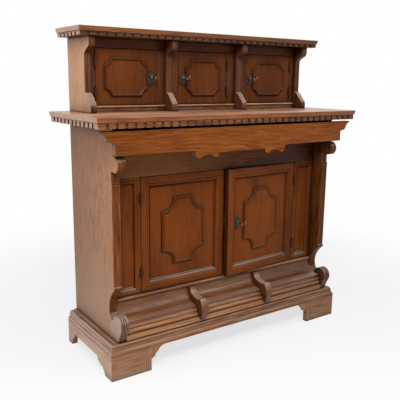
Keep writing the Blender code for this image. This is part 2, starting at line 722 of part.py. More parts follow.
def build_drawer():
    """Drawer front, the three walls of the drawer box, and its bottom."""
    half = drawer_front_half()
    outline = half + [(-x, z) for x, z in reversed(half)]
    prism_node("drawer_front", outline, along_depth, (DRAWER_BACK_FACE, DRAWER_FACE), WOOD_BROWN)
    base = RUNNER_TOP + GLUE_GAP
    box_back = INSIDE_BACK + DRAWER_BACK_SPACE
    box_front = DRAWER_BACK_FACE - GLUE_GAP
    inner = DRAWER_HALF - DRAWER_SIDE_THICKNESS
    inner_back = box_back + DRAWER_SIDE_THICKNESS
    outer = DRAWER_HALF
    walls = [(-outer, box_front), (-outer, box_back), (outer, box_back), (outer, box_front)]
    walls += [(inner, box_front), (inner, inner_back), (-inner, inner_back), (-inner, box_front)]
    prism_node("drawer_box", walls, along_z, (base, base + DRAWER_BOX_HEIGHT), WOOD_RAW)
    fitted = inner - GLUE_GAP
    floor = base + DRAWER_BOTTOM_RISE
    low = (-fitted, inner_back + GLUE_GAP, floor)
    box_node("drawer_bottom", low, (fitted, box_front, floor + DRAWER_BOTTOM_THICKNESS), WOOD_RAW)


# Counter and hutch top

def slab_loops(half, depth, core_base, slab_base, slab_top, inset):
    """Loops of a top board: a core that stands back under an overhanging slab."""
    loops = []
    for step, z in ((inset, core_base), (inset, slab_base), (SLAB_UNDERCUT, slab_base), (0.0, slab_top)):
        back, front = min(step, CORE_BACK_INSET), depth - step
        end = half - step
        corners = [(-end, back), (end, back), (end, front), (-end, front)]
        loops.append([along_z(x, d, z) for x, d in corners])
    return loops


def comb_outline(low, high, base, top):
    """Dentil strip: a band with notches cut up from its lower edge at an even pitch."""
    count = max(2, round((high - low) / DENTIL_PITCH))
    pitch = (high - low) / count
    land = top - DENTIL_LAND
    outline = [(low, top), (low, base)]
    for index in range(1, count):
        middle = low + pitch * index
        left, right = middle - DENTIL_GAP / 2, middle + DENTIL_GAP / 2
        outline += [(left, base), (left, land), (right, land), (right, base)]
    return outline + [(high, base), (high, top)]


def build_top(name, half, depth, core_base, slab_base, slab_top):
    """A top board, and the dentil strip round three sides of its core."""
    inset = DENTIL_SETBACK + DENTIL_THICKNESS + GLUE_GAP
    bm = bmesh.new()
    add_loops(bm, slab_loops(half, depth, core_base, slab_base, slab_top, inset))
    make_node(name + "_top", bm, WOOD_BROWN)
    strip_top = slab_base - GLUE_GAP
    outer = half - DENTIL_SETBACK
    face = depth - DENTIL_SETBACK
    back = face - DENTIL_THICKNESS
    bm = bmesh.new()
    add_prism(bm, comb_outline(-outer, outer, core_base, strip_top), along_depth, back, face)
    strip = make_node(name + "_dentils", bm, WOOD_BROWN)
    ends = bmesh.new()
    outline = comb_outline(CORE_BACK_INSET, back + DENTIL_THICKNESS / 2, core_base, strip_top)
    for side in (-1, 1):
        span = sorted((side * outer, side * (outer - DENTIL_THICKNESS)))
        add_prism(ends, outline, along_x, span[0], span[1])
    combine(strip, ends, "UNION")


# Hutch

def hutch_front_edge():
    """Front edge of a hutch side or partition, from its foot on the counter to its roll under the top."""
    edge = HUTCH_SIDE_DEPTH
    ledge = HUTCH_BASE + HUTCH_SCROLL_HEIGHT
    nose = edge + HUTCH_SCROLL_PROJECTION
    rise = HUTCH_NOSE_RISE
    points = curve((nose - rise / 8, HUTCH_BASE), (nose + rise / 8, HUTCH_BASE + rise),
                   (nose - rise / 4, HUTCH_BASE + rise * 1.65), 5)
    points += [(edge + HUTCH_LEDGE, ledge - HUTCH_LEDGE / 2), (edge, ledge)]
    roll = arc((edge + HUTCH_ROLL_PROJECTION, HUTCH_PANEL_TOP - HUTCH_ROLL_DROP), HUTCH_ROLL_RADIUS, -60, 15, 6)
    bend = roll[0][1] - (roll[0][0] - edge) / math.sqrt(3)
    points += curve((edge, bend - HUTCH_NECK), (edge, bend), roll[0], 5)
    return points + roll[1:] + [(roll[-1][0], HUTCH_PANEL_TOP)]


def hutch_side_outline():
    """Hutch side, from the back plane to its scrolled front edge."""
    return [(0.0, HUTCH_BASE)] + hutch_front_edge() + [(0.0, HUTCH_PANEL_TOP)]


def hutch_partition_outline():
    """Hutch partition, notched over the floor board and slotted for the face frame's rail."""
    floor_front = HUTCH_DOOR_PLANE + HUTCH_NOSING_PROJECTION + GLUE_GAP
    floor_top = HUTCH_FLOOR_TOP + GLUE_GAP
    slot_front = HUTCH_DOOR_PLANE + GLUE_GAP
    slot_back = HUTCH_DOOR_PLANE - HUTCH_STRIP_THICKNESS - GLUE_GAP
    slot_base = HUTCH_FRIEZE_BASE - GLUE_GAP
    outline = [(INSIDE_BACK, floor_top), (floor_front, floor_top), (floor_front, HUTCH_BASE)]
    outline += hutch_front_edge()
    outline += [(slot_front, HUTCH_PANEL_TOP), (slot_front, slot_base), (slot_back, slot_base)]
    return outline + [(slot_back, HUTCH_PANEL_TOP), (INSIDE_BACK, HUTCH_PANEL_TOP)]


def hutch_bays():
    """Inner limits of the left, middle and right bay of the hutch."""
    wall = HUTCH_INSIDE - GLUE_GAP
    outer = PARTITION_OUTER + GLUE_GAP
    inner = PARTITION_INNER - GLUE_GAP
    return [(-wall, -outer), (-inner, inner), (outer, wall)]


def hutch_floor_outline():
    """Hutch floor board with a nosing along its upper front edge."""
    face = HUTCH_DOOR_PLANE + HUTCH_FLOOR_STEP
    front = HUTCH_DOOR_PLANE + HUTCH_NOSING_PROJECTION
    radius = HUTCH_NOSING_RADIUS
    outline = [(INSIDE_BACK, HUTCH_FLOOR_TOP), (INSIDE_BACK, HUTCH_BASE), (face, HUTCH_BASE)]
    outline.append((face, HUTCH_FLOOR_TOP - radius * 2))
    outline += arc((front - radius, HUTCH_FLOOR_TOP - radius), radius, -90, 90, 5)
    return outline


def face_frame_outline():
    """Hutch face frame: a frieze rail with a stile down each side of every bay."""
    base, rail = HUTCH_FLOOR_TOP + GLUE_GAP, HUTCH_FRIEZE_BASE
    wall = HUTCH_INSIDE - GLUE_GAP
    outline = [(wall, HUTCH_PANEL_TOP), (-wall, HUTCH_PANEL_TOP)]
    for (low, high), widths in zip(hutch_bays(), hutch_strip_widths()):
        left, right = low + widths[0], high - widths[1]
        outline += [(low, rail), (low, base), (left, base), (left, rail)]
        outline += [(right, rail), (right, base), (high, base), (high, rail)]
    outline.remove((-wall, rail))
    outline.remove((wall, rail))
    return outline


def build_hutch():
    """Sides, partitions, back, floor board and face frame of the hutch."""
    for name, side in (("left", -1), ("right", 1)):
        span = sorted((side * HUTCH_HALF, side * HUTCH_INSIDE))
        prism_node("hutch_" + name + "_side", hutch_side_outline(), along_x, span, WOOD_PALE)
        span = sorted((side * PARTITION_INNER, side * PARTITION_OUTER))
        prism_node("hutch_" + name + "_partition", hutch_partition_outline(), along_x, span, WOOD_BROWN)
    wall = HUTCH_INSIDE - GLUE_GAP
    prism_node("hutch_floor", hutch_floor_outline(), along_x, (-wall, wall), WOOD_BROWN)
    box_node("hutch_back", (-wall, 0.0, HUTCH_BASE), (wall, BACK_THICKNESS, HUTCH_PANEL_TOP), WOOD_RAW)
    span = (HUTCH_DOOR_PLANE - HUTCH_STRIP_THICKNESS, HUTCH_DOOR_PLANE)
    prism_node("hutch_face_frame", face_frame_outline(), along_depth, span, WOOD_RED)


def hutch_strip_widths():
    """Widths of the left and right stile strip in each bay."""
    outer, inner = HUTCH_OUTER_STRIP, HUTCH_INNER_STRIP
    return [(outer, inner), (inner, inner), (inner, outer)]


# Doors

class Door:
    """One hinged door. A place on it is a distance from the hinge axis, a depth behind its face, and a height."""

    def __init__(self, name, hinge_edge, lock_edge, plane, base, height, ajar=0.0):
        """Place the hinge axis in the gap beside the edge that carries the hinges."""
        self.name = name
        self.side = 1 if lock_edge > hinge_edge else -1
        self.axis_x = hinge_edge + self.side * HINGE_GAP / 2
        self.near = HINGE_GAP / 2
        self.far = abs(lock_edge - self.axis_x) - LOCK_EDGE_GAP
        self.base = base
        self.height = height
        self.empty = bpy.data.objects.new(name + "_axis", None)
        bpy.context.scene.collection.objects.link(self.empty)
        self.empty.location = (self.axis_x, y_at(plane + PIN_STANDOFF), base)
        self.empty.rotation_euler = (0.0, 0.0, -self.side * math.radians(ajar))

    def place(self, distance, height, depth):
        """Point on the door, in the frame of its hinge axis."""
        return Vector((self.side * distance, PIN_STANDOFF + depth, height))

    def place_plan(self, distance, depth, height):
        """Point of a plan outline on the door."""
        return self.place(distance, height, depth)

    def box(self, bm, low, high):
        """Add a box between two corners, each given as distance, depth and height."""
        corners = [(low[0], low[1]), (high[0], low[1]), (high[0], high[1]), (low[0], high[1])]
        add_prism(bm, corners, self.place_plan, low[2], high[2])

    def drill(self, bm, distance, height, radius, low, high):
        """Add a round tool that runs through the door from one depth to another."""
        add_prism(bm, arc((distance, height), radius, 0, 360, ROUND_SIDES)[:-1], self.place, low, high)

    def node(self, suffix, bm, finish, rounded=False):
        """A piece that hangs on this door."""
        return make_node(self.name + suffix, bm, finish, parent=self.empty, rounded=rounded)

    def combine(self, target, bm, operation):
        """Cut a tool shape on this door out of a piece, or join it on."""
        combine(target, bm, operation, parent=self.empty)


def scooped_outline(size, scoop, inset):
    """Panel outline with a concave scoop at each corner, moved in by an inset.

    A scoop is a radius, how far its centre lies outside the corner, and a straight shoulder at each end.
    """
    radius, flat, shoulder = scoop
    half_width, half_height = size[0] / 2, size[1] / 2
    reach = radius + inset
    lean = 0.0 if shoulder else math.asin((flat + inset) / reach)
    points = []
    for side, end, turn in ((1, 1, 270), (-1, 1, 0), (-1, -1, 90), (1, -1, 180)):
        centre = (side * (half_width + flat - shoulder), end * (half_height + flat - shoulder))
        sweep = [lean + (math.pi / 2 - 2 * lean) * step / SCOOP_STEPS for step in range(SCOOP_STEPS + 1)]
        bow = [(centre[0] + reach * math.cos(math.radians(turn) - angle),
                centre[1] + reach * math.sin(math.radians(turn) - angle)) for angle in sweep]
        if shoulder:
            on_side = (side * (half_width - inset), end * (half_height - shoulder - reach))
            on_end = (side * (half_width - shoulder - reach), end * (half_height - inset))
            bow = [on_side] + bow + [on_end] if turn in (270, 90) else [on_end] + bow + [on_side]
        points += bow
    return points


def add_raised_panel(target, door, centre, size, scoop, seat):
    """Join on a raised panel with scooped corners and a moulded edge, standing on a face at a given depth."""
    steps = [(0.0, -RAISED_ROOT), (0.0, RAISED_HEIGHT * 0.4), (RAISED_EDGE * 0.3, RAISED_HEIGHT * 0.9),
             (RAISED_EDGE * 0.7, RAISED_HEIGHT), (RAISED_EDGE, RAISED_HEIGHT * 0.8)]
    loops = []
    for inset, rise in steps:
        outline = scooped_outline(size, scoop, inset)
        loops.append([door.place(centre[0] + a, centre[1] + b, seat - rise) for a, b in outline])
    bm = bmesh.new()
    add_loops(bm, loops)
    door.combine(target, bm, "UNION")


def lock_place(door, backset):
    """Distance and height of a door's key axis."""
    return door.far - backset, door.height / 2


def lock_case_limits(door, backset):
    """Outer corners of the lock case, let into the back of the door at its lock edge."""
    distance, height = lock_place(door, backset)
    low = (distance - LOCK_TAIL, LOCK_FACE_DEPTH + GLUE_GAP, height - BIT_LENGTH - LOCK_WALL)
    top = height + BOLT_RISE + BOLT_HEIGHT + BOLT_PLAY + LOCK_WALL
    high = (door.far - LOCK_INSET, LOCK_FACE_DEPTH + GLUE_GAP + LOCK_CAP + LOCK_CAVITY + LOCK_WALL, top)
    return low, high


def bolt_levels(door, backset):
    """Lower and upper edge of the bolt."""
    base = lock_place(door, backset)[1] + BOLT_RISE
    return base, base + BOLT_HEIGHT


def add_lock_pocket(bm, door, backset, board_back):
    """Tool that clears the lock case out of the back of a door."""
    low, high = lock_case_limits(door, backset)
    room = GLUE_GAP
    door.box(bm, (low[0] - room, LOCK_FACE_DEPTH, low[2] - room),
             (high[0] + LOCK_EDGE_GAP, board_back + room, high[2] + room))


def build_lock(door, backset, seat):
    """Lock case with its keyhole tube and escutcheon, the key, and the bolt that the key throws."""
    distance, height = lock_place(door, backset)
    low, high = lock_case_limits(door, backset)
    bolt_base, bolt_top = bolt_levels(door, backset)
    cavity_front, cavity_back = low[1] + LOCK_CAP, high[1] - LOCK_WALL
    bm = bmesh.new()
    door.box(bm, low, high)
    lock = door.node("_lock", bm, IRON_DARK)
    bm = bmesh.new()
    door.box(bm, (low[0] + LOCK_WALL, cavity_front, low[2] + LOCK_WALL),
             (high[0] - LOCK_WALL, cavity_back, high[2] - LOCK_WALL))
    door.combine(lock, bm, "DIFFERENCE")
    bm = bmesh.new()
    door.box(bm, (high[0] - LOCK_WALL * 2, cavity_front + BOLT_PLAY / 2, bolt_base - BOLT_PLAY),
             (high[0] + LOCK_WALL, cavity_back - BOLT_PLAY / 2, bolt_top + BOLT_PLAY))
    door.combine(lock, bm, "DIFFERENCE")
    bm = bmesh.new()
    add_escutcheon(bm, door, distance, height, seat, (low[1] + cavity_front) / 2)
    door.combine(lock, bm, "UNION")
    bm = bmesh.new()
    door.drill(bm, distance, height, TUBE_BORE, (low[1] + cavity_front) / 2 - LOCK_CAP, cavity_front + LOCK_CAP)
    door.combine(lock, bm, "DIFFERENCE")
    build_key(door, distance, height, seat, cavity_front, cavity_back)
    build_bolt(door, distance, bolt_base, bolt_top, cavity_front)


def add_escutcheon(bm, door, distance, height, seat, tube_end):
    """Add the lobed escutcheon on the face of the door, with the keyhole tube that runs back to the lock."""
    sides = ROUND_SIDES * 2
    plate, tube, bore = [], [], []
    for step in range(sides):
        angle = 2 * math.pi * step / sides
        across, up = math.cos(angle), math.sin(angle)
        swell = 1.0 - ESCUTCHEON_WAIST * (0.5 + 0.5 * math.cos(4 * angle))
        half_width, half_height = swell * ESCUTCHEON_WIDTH / 2, swell * ESCUTCHEON_HEIGHT / 2
        plate.append((distance + half_width * across, height + half_height * up))
        tube.append((distance + TUBE_RADIUS * across, height + TUBE_RADIUS * up))
        bore.append((distance + TUBE_BORE * across, height + TUBE_BORE * up))
    back, face = seat - GLUE_GAP, seat - GLUE_GAP - ESCUTCHEON_THICKNESS
    rows = [(plate, back), (plate, face), (bore, face), (bore, tube_end), (tube, tube_end), (tube, back)]
    add_loops(bm, [[door.place(a, b, depth) for a, b in row] for row, depth in rows], closed_ring=True)


def build_key(door, distance, height, seat, cavity_front, cavity_back):
    """Key: shank with a collar, a ring bow in a vertical plane, and a bit that lies in the bolt's talon."""
    origin = door.place(distance, height, 0.0)
    face = seat - GLUE_GAP - ESCUTCHEON_THICKNESS
    tip = cavity_back - BOLT_PLAY
    bow_front = face - KEY_REACH
    bow_centre = bow_front + BOW_RADIUS + BOW_WIRE
    step = COLLAR_LENGTH / 2
    collar = face - COLLAR_LENGTH
    profile = [(SHANK_RADIUS, tip), (SHANK_RADIUS, collar), (COLLAR_RADIUS, collar - step),
               (COLLAR_RADIUS, collar - step * 3), (SHANK_RADIUS, collar - step * 4),
               (SHANK_RADIUS, bow_centre + BOW_RADIUS)]
    loops = []
    for radius, depth in profile:
        ring = arc((0.0, 0.0), radius, 0, 360, ROUND_SIDES)[:-1]
        loops.append([Vector((a, depth, b)) for a, b in ring])
    bm = bmesh.new()
    add_loops(bm, loops)
    key = make_node(door.name + "_key", bm, IRON_DARK, parent=door.empty, location=origin, rounded=True)
    bm = bmesh.new()
    rings = []
    for step in range(ROUND_SIDES + 4):
        turn = 2 * math.pi * step / (ROUND_SIDES + 4)
        ring = []
        for a, b in arc((0.0, 0.0), BOW_WIRE, 0, 360, 6)[:-1]:
            reach = BOW_RADIUS + a
            ring.append(Vector((b, bow_centre + reach * math.cos(turn), reach * math.sin(turn))))
        rings.append(ring)
    add_loops(bm, rings, closed_ring=True)
    combine(key, bm, "UNION", parent=door.empty, location=origin)
    bm = bmesh.new()
    lean = Vector((-door.side, 0.0, 1.0)).normalized()
    across = Vector((1.0, 0.0, door.side)).normalized() * (BIT_WIDTH / 2)
    bolt_face = cavity_front + BOLT_PLAY
    loops = []
    for depth in (bolt_face, bolt_face + BOLT_THICKNESS):
        level = Vector((0.0, depth, 0.0))
        loops.append([level - across, level + across,
                      level + across + lean * BIT_LENGTH, level - across + lean * BIT_LENGTH])
    add_loops(bm, loops)
    combine(key, bm, "UNION", parent=door.empty, location=origin)


def build_bolt(door, distance, bolt_base, bolt_top, cavity_front):
    """Sliding bolt, drawn back, with the talon notch that the key's bit works in."""
    talon = distance - BIT_LENGTH * math.sin(math.radians(45))
    tail = distance - LOCK_TAIL + LOCK_WALL + BOLT_PLAY
    nose = door.far - BOLT_PLAY
    left, right = talon - TALON_WIDTH / 2, talon + TALON_WIDTH / 2
    outline = [(tail, bolt_base), (left, bolt_base), (left, bolt_base + TALON_DEPTH),
               (right, bolt_base + TALON_DEPTH), (right, bolt_base), (nose, bolt_base),
               (nose, bolt_top), (tail, bolt_top)]
    face = cavity_front + BOLT_PLAY
    bm = bmesh.new()
    add_prism(bm, outline, door.place, face, face + BOLT_THICKNESS)
    door.node("_bolt", bm, BRASS_AGED)


def leaf_outline(sign):
    """Plan of one hinge half: a barrel with a leaf that runs back into the hinge gap."""
    inner = LEAF_PLAY * sign
    outer = (LEAF_PLAY + LEAF_THICKNESS) * sign
    behind = -math.sqrt(BARREL_RADIUS ** 2 - outer ** 2)
    start = math.degrees(math.atan2(behind, outer))
    finish = math.degrees(math.atan2(-math.sqrt(BARREL_RADIUS ** 2 - inner ** 2), inner))
    turn = 360 - abs(finish - start)
    outline = arc((0.0, 0.0), BARREL_RADIUS, start, start + sign * turn, ROUND_SIDES)
    return outline + [(inner, -LEAF_DEPTH), (outer, -LEAF_DEPTH)]


def hinge_levels(door, inset):
    """Lower ends of a door's two hinge barrels."""
    return [inset - BARREL_HEIGHT / 2, door.height - inset - BARREL_HEIGHT / 2]


def strap_outline(sign):
    """Plan of the strap that ties one side's two hinge halves together inside the hinge gap."""
    inner = (LEAF_PLAY + STRAP_INSET) * sign
    outer = (LEAF_PLAY + LEAF_THICKNESS - STRAP_INSET) * sign
    return [(inner, -STRAP_FRONT), (outer, -STRAP_FRONT), (outer, -STRAP_BACK), (inner, -STRAP_BACK)]


def build_hinge_half(name, door, inset, fixed):
    """One side of a door's two hinges: fixed lower halves with pins, or bored upper halves on the door."""
    sign = -1 if fixed else 1
    parent = None if fixed else door.empty
    origin = Vector((door.axis_x, door.empty.location.y, door.base)) if fixed else Vector((0.0, 0.0, 0.0))

    def place(across, ahead, height):
        return origin + Vector((door.side * across, -ahead, height))

    levels = hinge_levels(door, inset)
    middle = BARREL_HEIGHT / 2
    knuckles, pins, strap = bmesh.new(), bmesh.new(), bmesh.new()
    for level in levels:
        low, high = (level, level + middle) if fixed else (level + middle + GLUE_GAP, level + BARREL_HEIGHT)
        add_prism(knuckles, leaf_outline(sign), place, low, high)
        radius = PIN_RADIUS if fixed else (PIN_RADIUS + PIN_CLEARANCE) / math.cos(math.pi / ROUND_SIDES)
        pin_base = level + middle - BARREL_RADIUS
        pin_top = level + BARREL_HEIGHT - (LEAF_THICKNESS * 2 if fixed else LEAF_THICKNESS)
        add_prism(pins, arc((0.0, 0.0), radius, 0, 360, ROUND_SIDES)[:-1], place, pin_base, pin_top)
    add_prism(strap, strap_outline(sign), place, levels[0] + middle / 2, levels[1] + BARREL_HEIGHT - middle / 2)
    half = make_node(name, strap, IRON_DARK, parent=parent, rounded=True)
    combine(half, knuckles, "UNION", parent=parent)
    combine(half, pins, "UNION" if fixed else "DIFFERENCE", parent=parent)


def build_hinges(door, inset):
    """Both sides of a door's hinges."""
    build_hinge_half(door.name + "_hinge_pins", door, inset, fixed=True)
    build_hinge_half(door.name + "_hinge_leaves", door, inset, fixed=False)


def build_lower_door(door, locked):
    """Framed door with a stepped moulding, a flat field and a raised panel."""
    low, high = (door.near, 0.0), (door.far, door.height)
    inner = DOOR_BORDER + DOOR_MOULDING
    lip = DOOR_FIELD_DEPTH - GLUE_GAP
    section = moulding_profile() + [(inner, lip), (inner - DOOR_REBATE, lip),
                                    (inner - DOOR_REBATE, FRONT_THICKNESS), (0.0, FRONT_THICKNESS)]
    loops = [[door.place(a, b, depth) for a, b in rectangle(low, high, inset)] for inset, depth in section]
    bm = bmesh.new()
    add_loops(bm, loops, closed_ring=True)
    frame = door.node("_frame", bm, WOOD_RED)
    margin = inner - DOOR_REBATE + GLUE_GAP
    field_back = DOOR_FIELD_DEPTH + DOOR_FIELD_THICKNESS
    bm = bmesh.new()
    door.box(bm, (door.near + margin, DOOR_FIELD_DEPTH, margin),
             (door.far - margin, field_back, door.height - margin))
    panel = door.node("_panel", bm, WOOD_RED)
    middle = ((door.near + door.far) / 2, door.height / 2)
    size = (LOWER_RAISED_WIDTH, LOWER_RAISED_HEIGHT)
    scoop = (LOWER_SCOOP_RADIUS, 0.0, LOWER_SCOOP_SHOULDER)
    add_raised_panel(panel, door, middle, size, scoop, DOOR_FIELD_DEPTH)
    tool = bmesh.new()
    if locked:
        add_lock_pocket(tool, door, LOWER_BACKSET, FRONT_THICKNESS)
        hole = bmesh.new()
        distance, height = lock_place(door, LOWER_BACKSET)
        door.drill(hole, distance, height, TUBE_HOLE, 0.0, FRONT_THICKNESS)
        door.combine(panel, hole, "DIFFERENCE")
        build_lock(door, LOWER_BACKSET, DOOR_FIELD_DEPTH)
    else:
        base, top = bolt_levels(door, LOWER_BACKSET)
        door.box(tool, (door.far - KEEPER_LENGTH, LOCK_FACE_DEPTH, base - BOLT_PLAY),
                 (door.far + LOCK_EDGE_GAP, FRONT_THICKNESS + GLUE_GAP, top + BOLT_PLAY))
    door.combine(frame, tool, "DIFFERENCE")
    build_hinges(door, LOWER_HINGE_INSET)


def build_hutch_door(door):
    """Flat door with a raised panel worked on its face, and a lock let into its back."""
    bm = bmesh.new()
    door.box(bm, (door.near, 0.0, 0.0), (door.far, HUTCH_DOOR_THICKNESS, door.height))
    leaf = make_node(door.name, bm, WOOD_RED, parent=door.empty)
    middle = ((door.near + door.far) / 2, door.height / 2)
    size = (door.far - door.near - 2 * HUTCH_RAISED_MARGIN, door.height - 2 * HUTCH_RAISED_END_MARGIN)
    scoop = (HUTCH_SCOOP_RADIUS, HUTCH_SCOOP_FLATNESS, 0.0)
    add_raised_panel(leaf, door, middle, size, scoop, 0.0)
    tool = bmesh.new()
    add_lock_pocket(tool, door, HUTCH_BACKSET, HUTCH_DOOR_THICKNESS)
    door.combine(leaf, tool, "DIFFERENCE")
    hole = bmesh.new()
    distance, height = lock_place(door, HUTCH_BACKSET)
    door.drill(hole, distance, height, TUBE_HOLE, -LOCK_WALL, LOCK_FACE_DEPTH + LOCK_WALL)
    door.combine(leaf, hole, "DIFFERENCE")
    build_lock(door, HUTCH_BACKSET, 0.0)
    build_hinges(door, HUTCH_HINGE_INSET)


def build_doors():
    """Two lower doors and three hutch doors."""
    meeting = LOCK_EDGE_GAP / 4
    left = Door("lower_left_door", -OPENING_HALF, meeting, DOOR_PLANE, LOWER_DOOR_BASE, LOWER_DOOR_HEIGHT)
    right = Door("lower_right_door", OPENING_HALF, -meeting, DOOR_PLANE, LOWER_DOOR_BASE, LOWER_DOOR_HEIGHT,
                 ajar=LOWER_DOOR_AJAR_DEGREES)
    build_lower_door(left, locked=False)
    build_lower_door(right, locked=True)
    names = ("hutch_left_door", "hutch_middle_door", "hutch_right_door")
    for name, (low, high), widths in zip(names, hutch_bays(), hutch_strip_widths()):
        edges = [low + widths[0], high - widths[1]]
        if name != "hutch_left_door":
            edges.reverse()
        build_hutch_door(Door(name, edges[0], edges[1], HUTCH_DOOR_PLANE, HUTCH_DOOR_BASE, HUTCH_DOOR_HEIGHT))


def main():
    """Build every piece of the credenza."""
    clear_scene()
    build_plinth()
    build_lower_case()
    build_stile_panels()
    build_drawer()
    build_top("counter", COUNTER_HALF, COUNTER_DEPTH, CORE_BASE, SLAB_BASE, COUNTER_TOP)
    build_hutch()
    build_top("hutch", HUTCH_TOP_HALF, HUTCH_TOP_DEPTH, HUTCH_CORE_BASE, HUTCH_SLAB_BASE,
              HUTCH_SLAB_BASE + HUTCH_SLAB)
    build_doors()


main()
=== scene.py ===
"""Dresses the credenza with hutch.

Boards with eased edges, mitred frames, turned ironwork, procedural finishes and a studio.
"""

import json
import logging
import math
from contextlib import contextmanager
from dataclasses import dataclass, field, replace
from enum import Enum
from typing import Any, Callable, Iterator, Optional, Sequence

import bpy
from mathutils import Matrix, Vector


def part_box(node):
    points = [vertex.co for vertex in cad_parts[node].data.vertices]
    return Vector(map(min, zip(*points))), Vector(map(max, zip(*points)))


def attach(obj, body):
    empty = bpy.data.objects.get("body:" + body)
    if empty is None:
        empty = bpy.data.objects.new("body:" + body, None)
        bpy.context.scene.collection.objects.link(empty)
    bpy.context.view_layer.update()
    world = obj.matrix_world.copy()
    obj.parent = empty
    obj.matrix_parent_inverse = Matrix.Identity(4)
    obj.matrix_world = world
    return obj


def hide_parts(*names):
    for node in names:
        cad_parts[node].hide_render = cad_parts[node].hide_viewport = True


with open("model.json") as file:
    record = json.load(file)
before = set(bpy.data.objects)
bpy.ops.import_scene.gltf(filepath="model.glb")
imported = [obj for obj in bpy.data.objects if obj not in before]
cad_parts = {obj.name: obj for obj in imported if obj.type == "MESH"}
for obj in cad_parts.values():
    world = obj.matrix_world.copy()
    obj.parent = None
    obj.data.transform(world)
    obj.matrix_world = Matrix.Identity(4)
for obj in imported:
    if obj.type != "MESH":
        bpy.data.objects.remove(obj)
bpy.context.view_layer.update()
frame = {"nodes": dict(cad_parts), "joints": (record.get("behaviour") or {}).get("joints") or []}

log = logging.getLogger("credenza")

Colour = tuple[float, float, float]
Socket = bpy.types.NodeSocket
Piece = bpy.types.Object
FaceTest = Callable[[bpy.types.MeshPolygon], bool]
PointTest = Callable[[Vector], bool]
Work = Callable[[Piece], None]

RIGHT = Vector((1.0, 0.0, 0.0))
BACK = Vector((0.0, 1.0, 0.0))
UP = Vector((0.0, 0.0, 1.0))
SIDES = ((-1, "left"), (1, "right"))
WELD = 0.00002
GLUE = 0.0003


def shade(colour: Colour, share: float) -> Colour:
    """Colour with each of its channels scaled."""
    return tuple(share * channel for channel in colour)


class Grain(Enum):
    """Way that a board's grain runs, with the turn that lays it along the pattern's first axis."""

    ACROSS = (0.0, 0.0, 0.0)
    INWARD = (0.0, 0.0, -math.pi / 2)
    UPRIGHT = (0.0, math.pi / 2, 0.0)


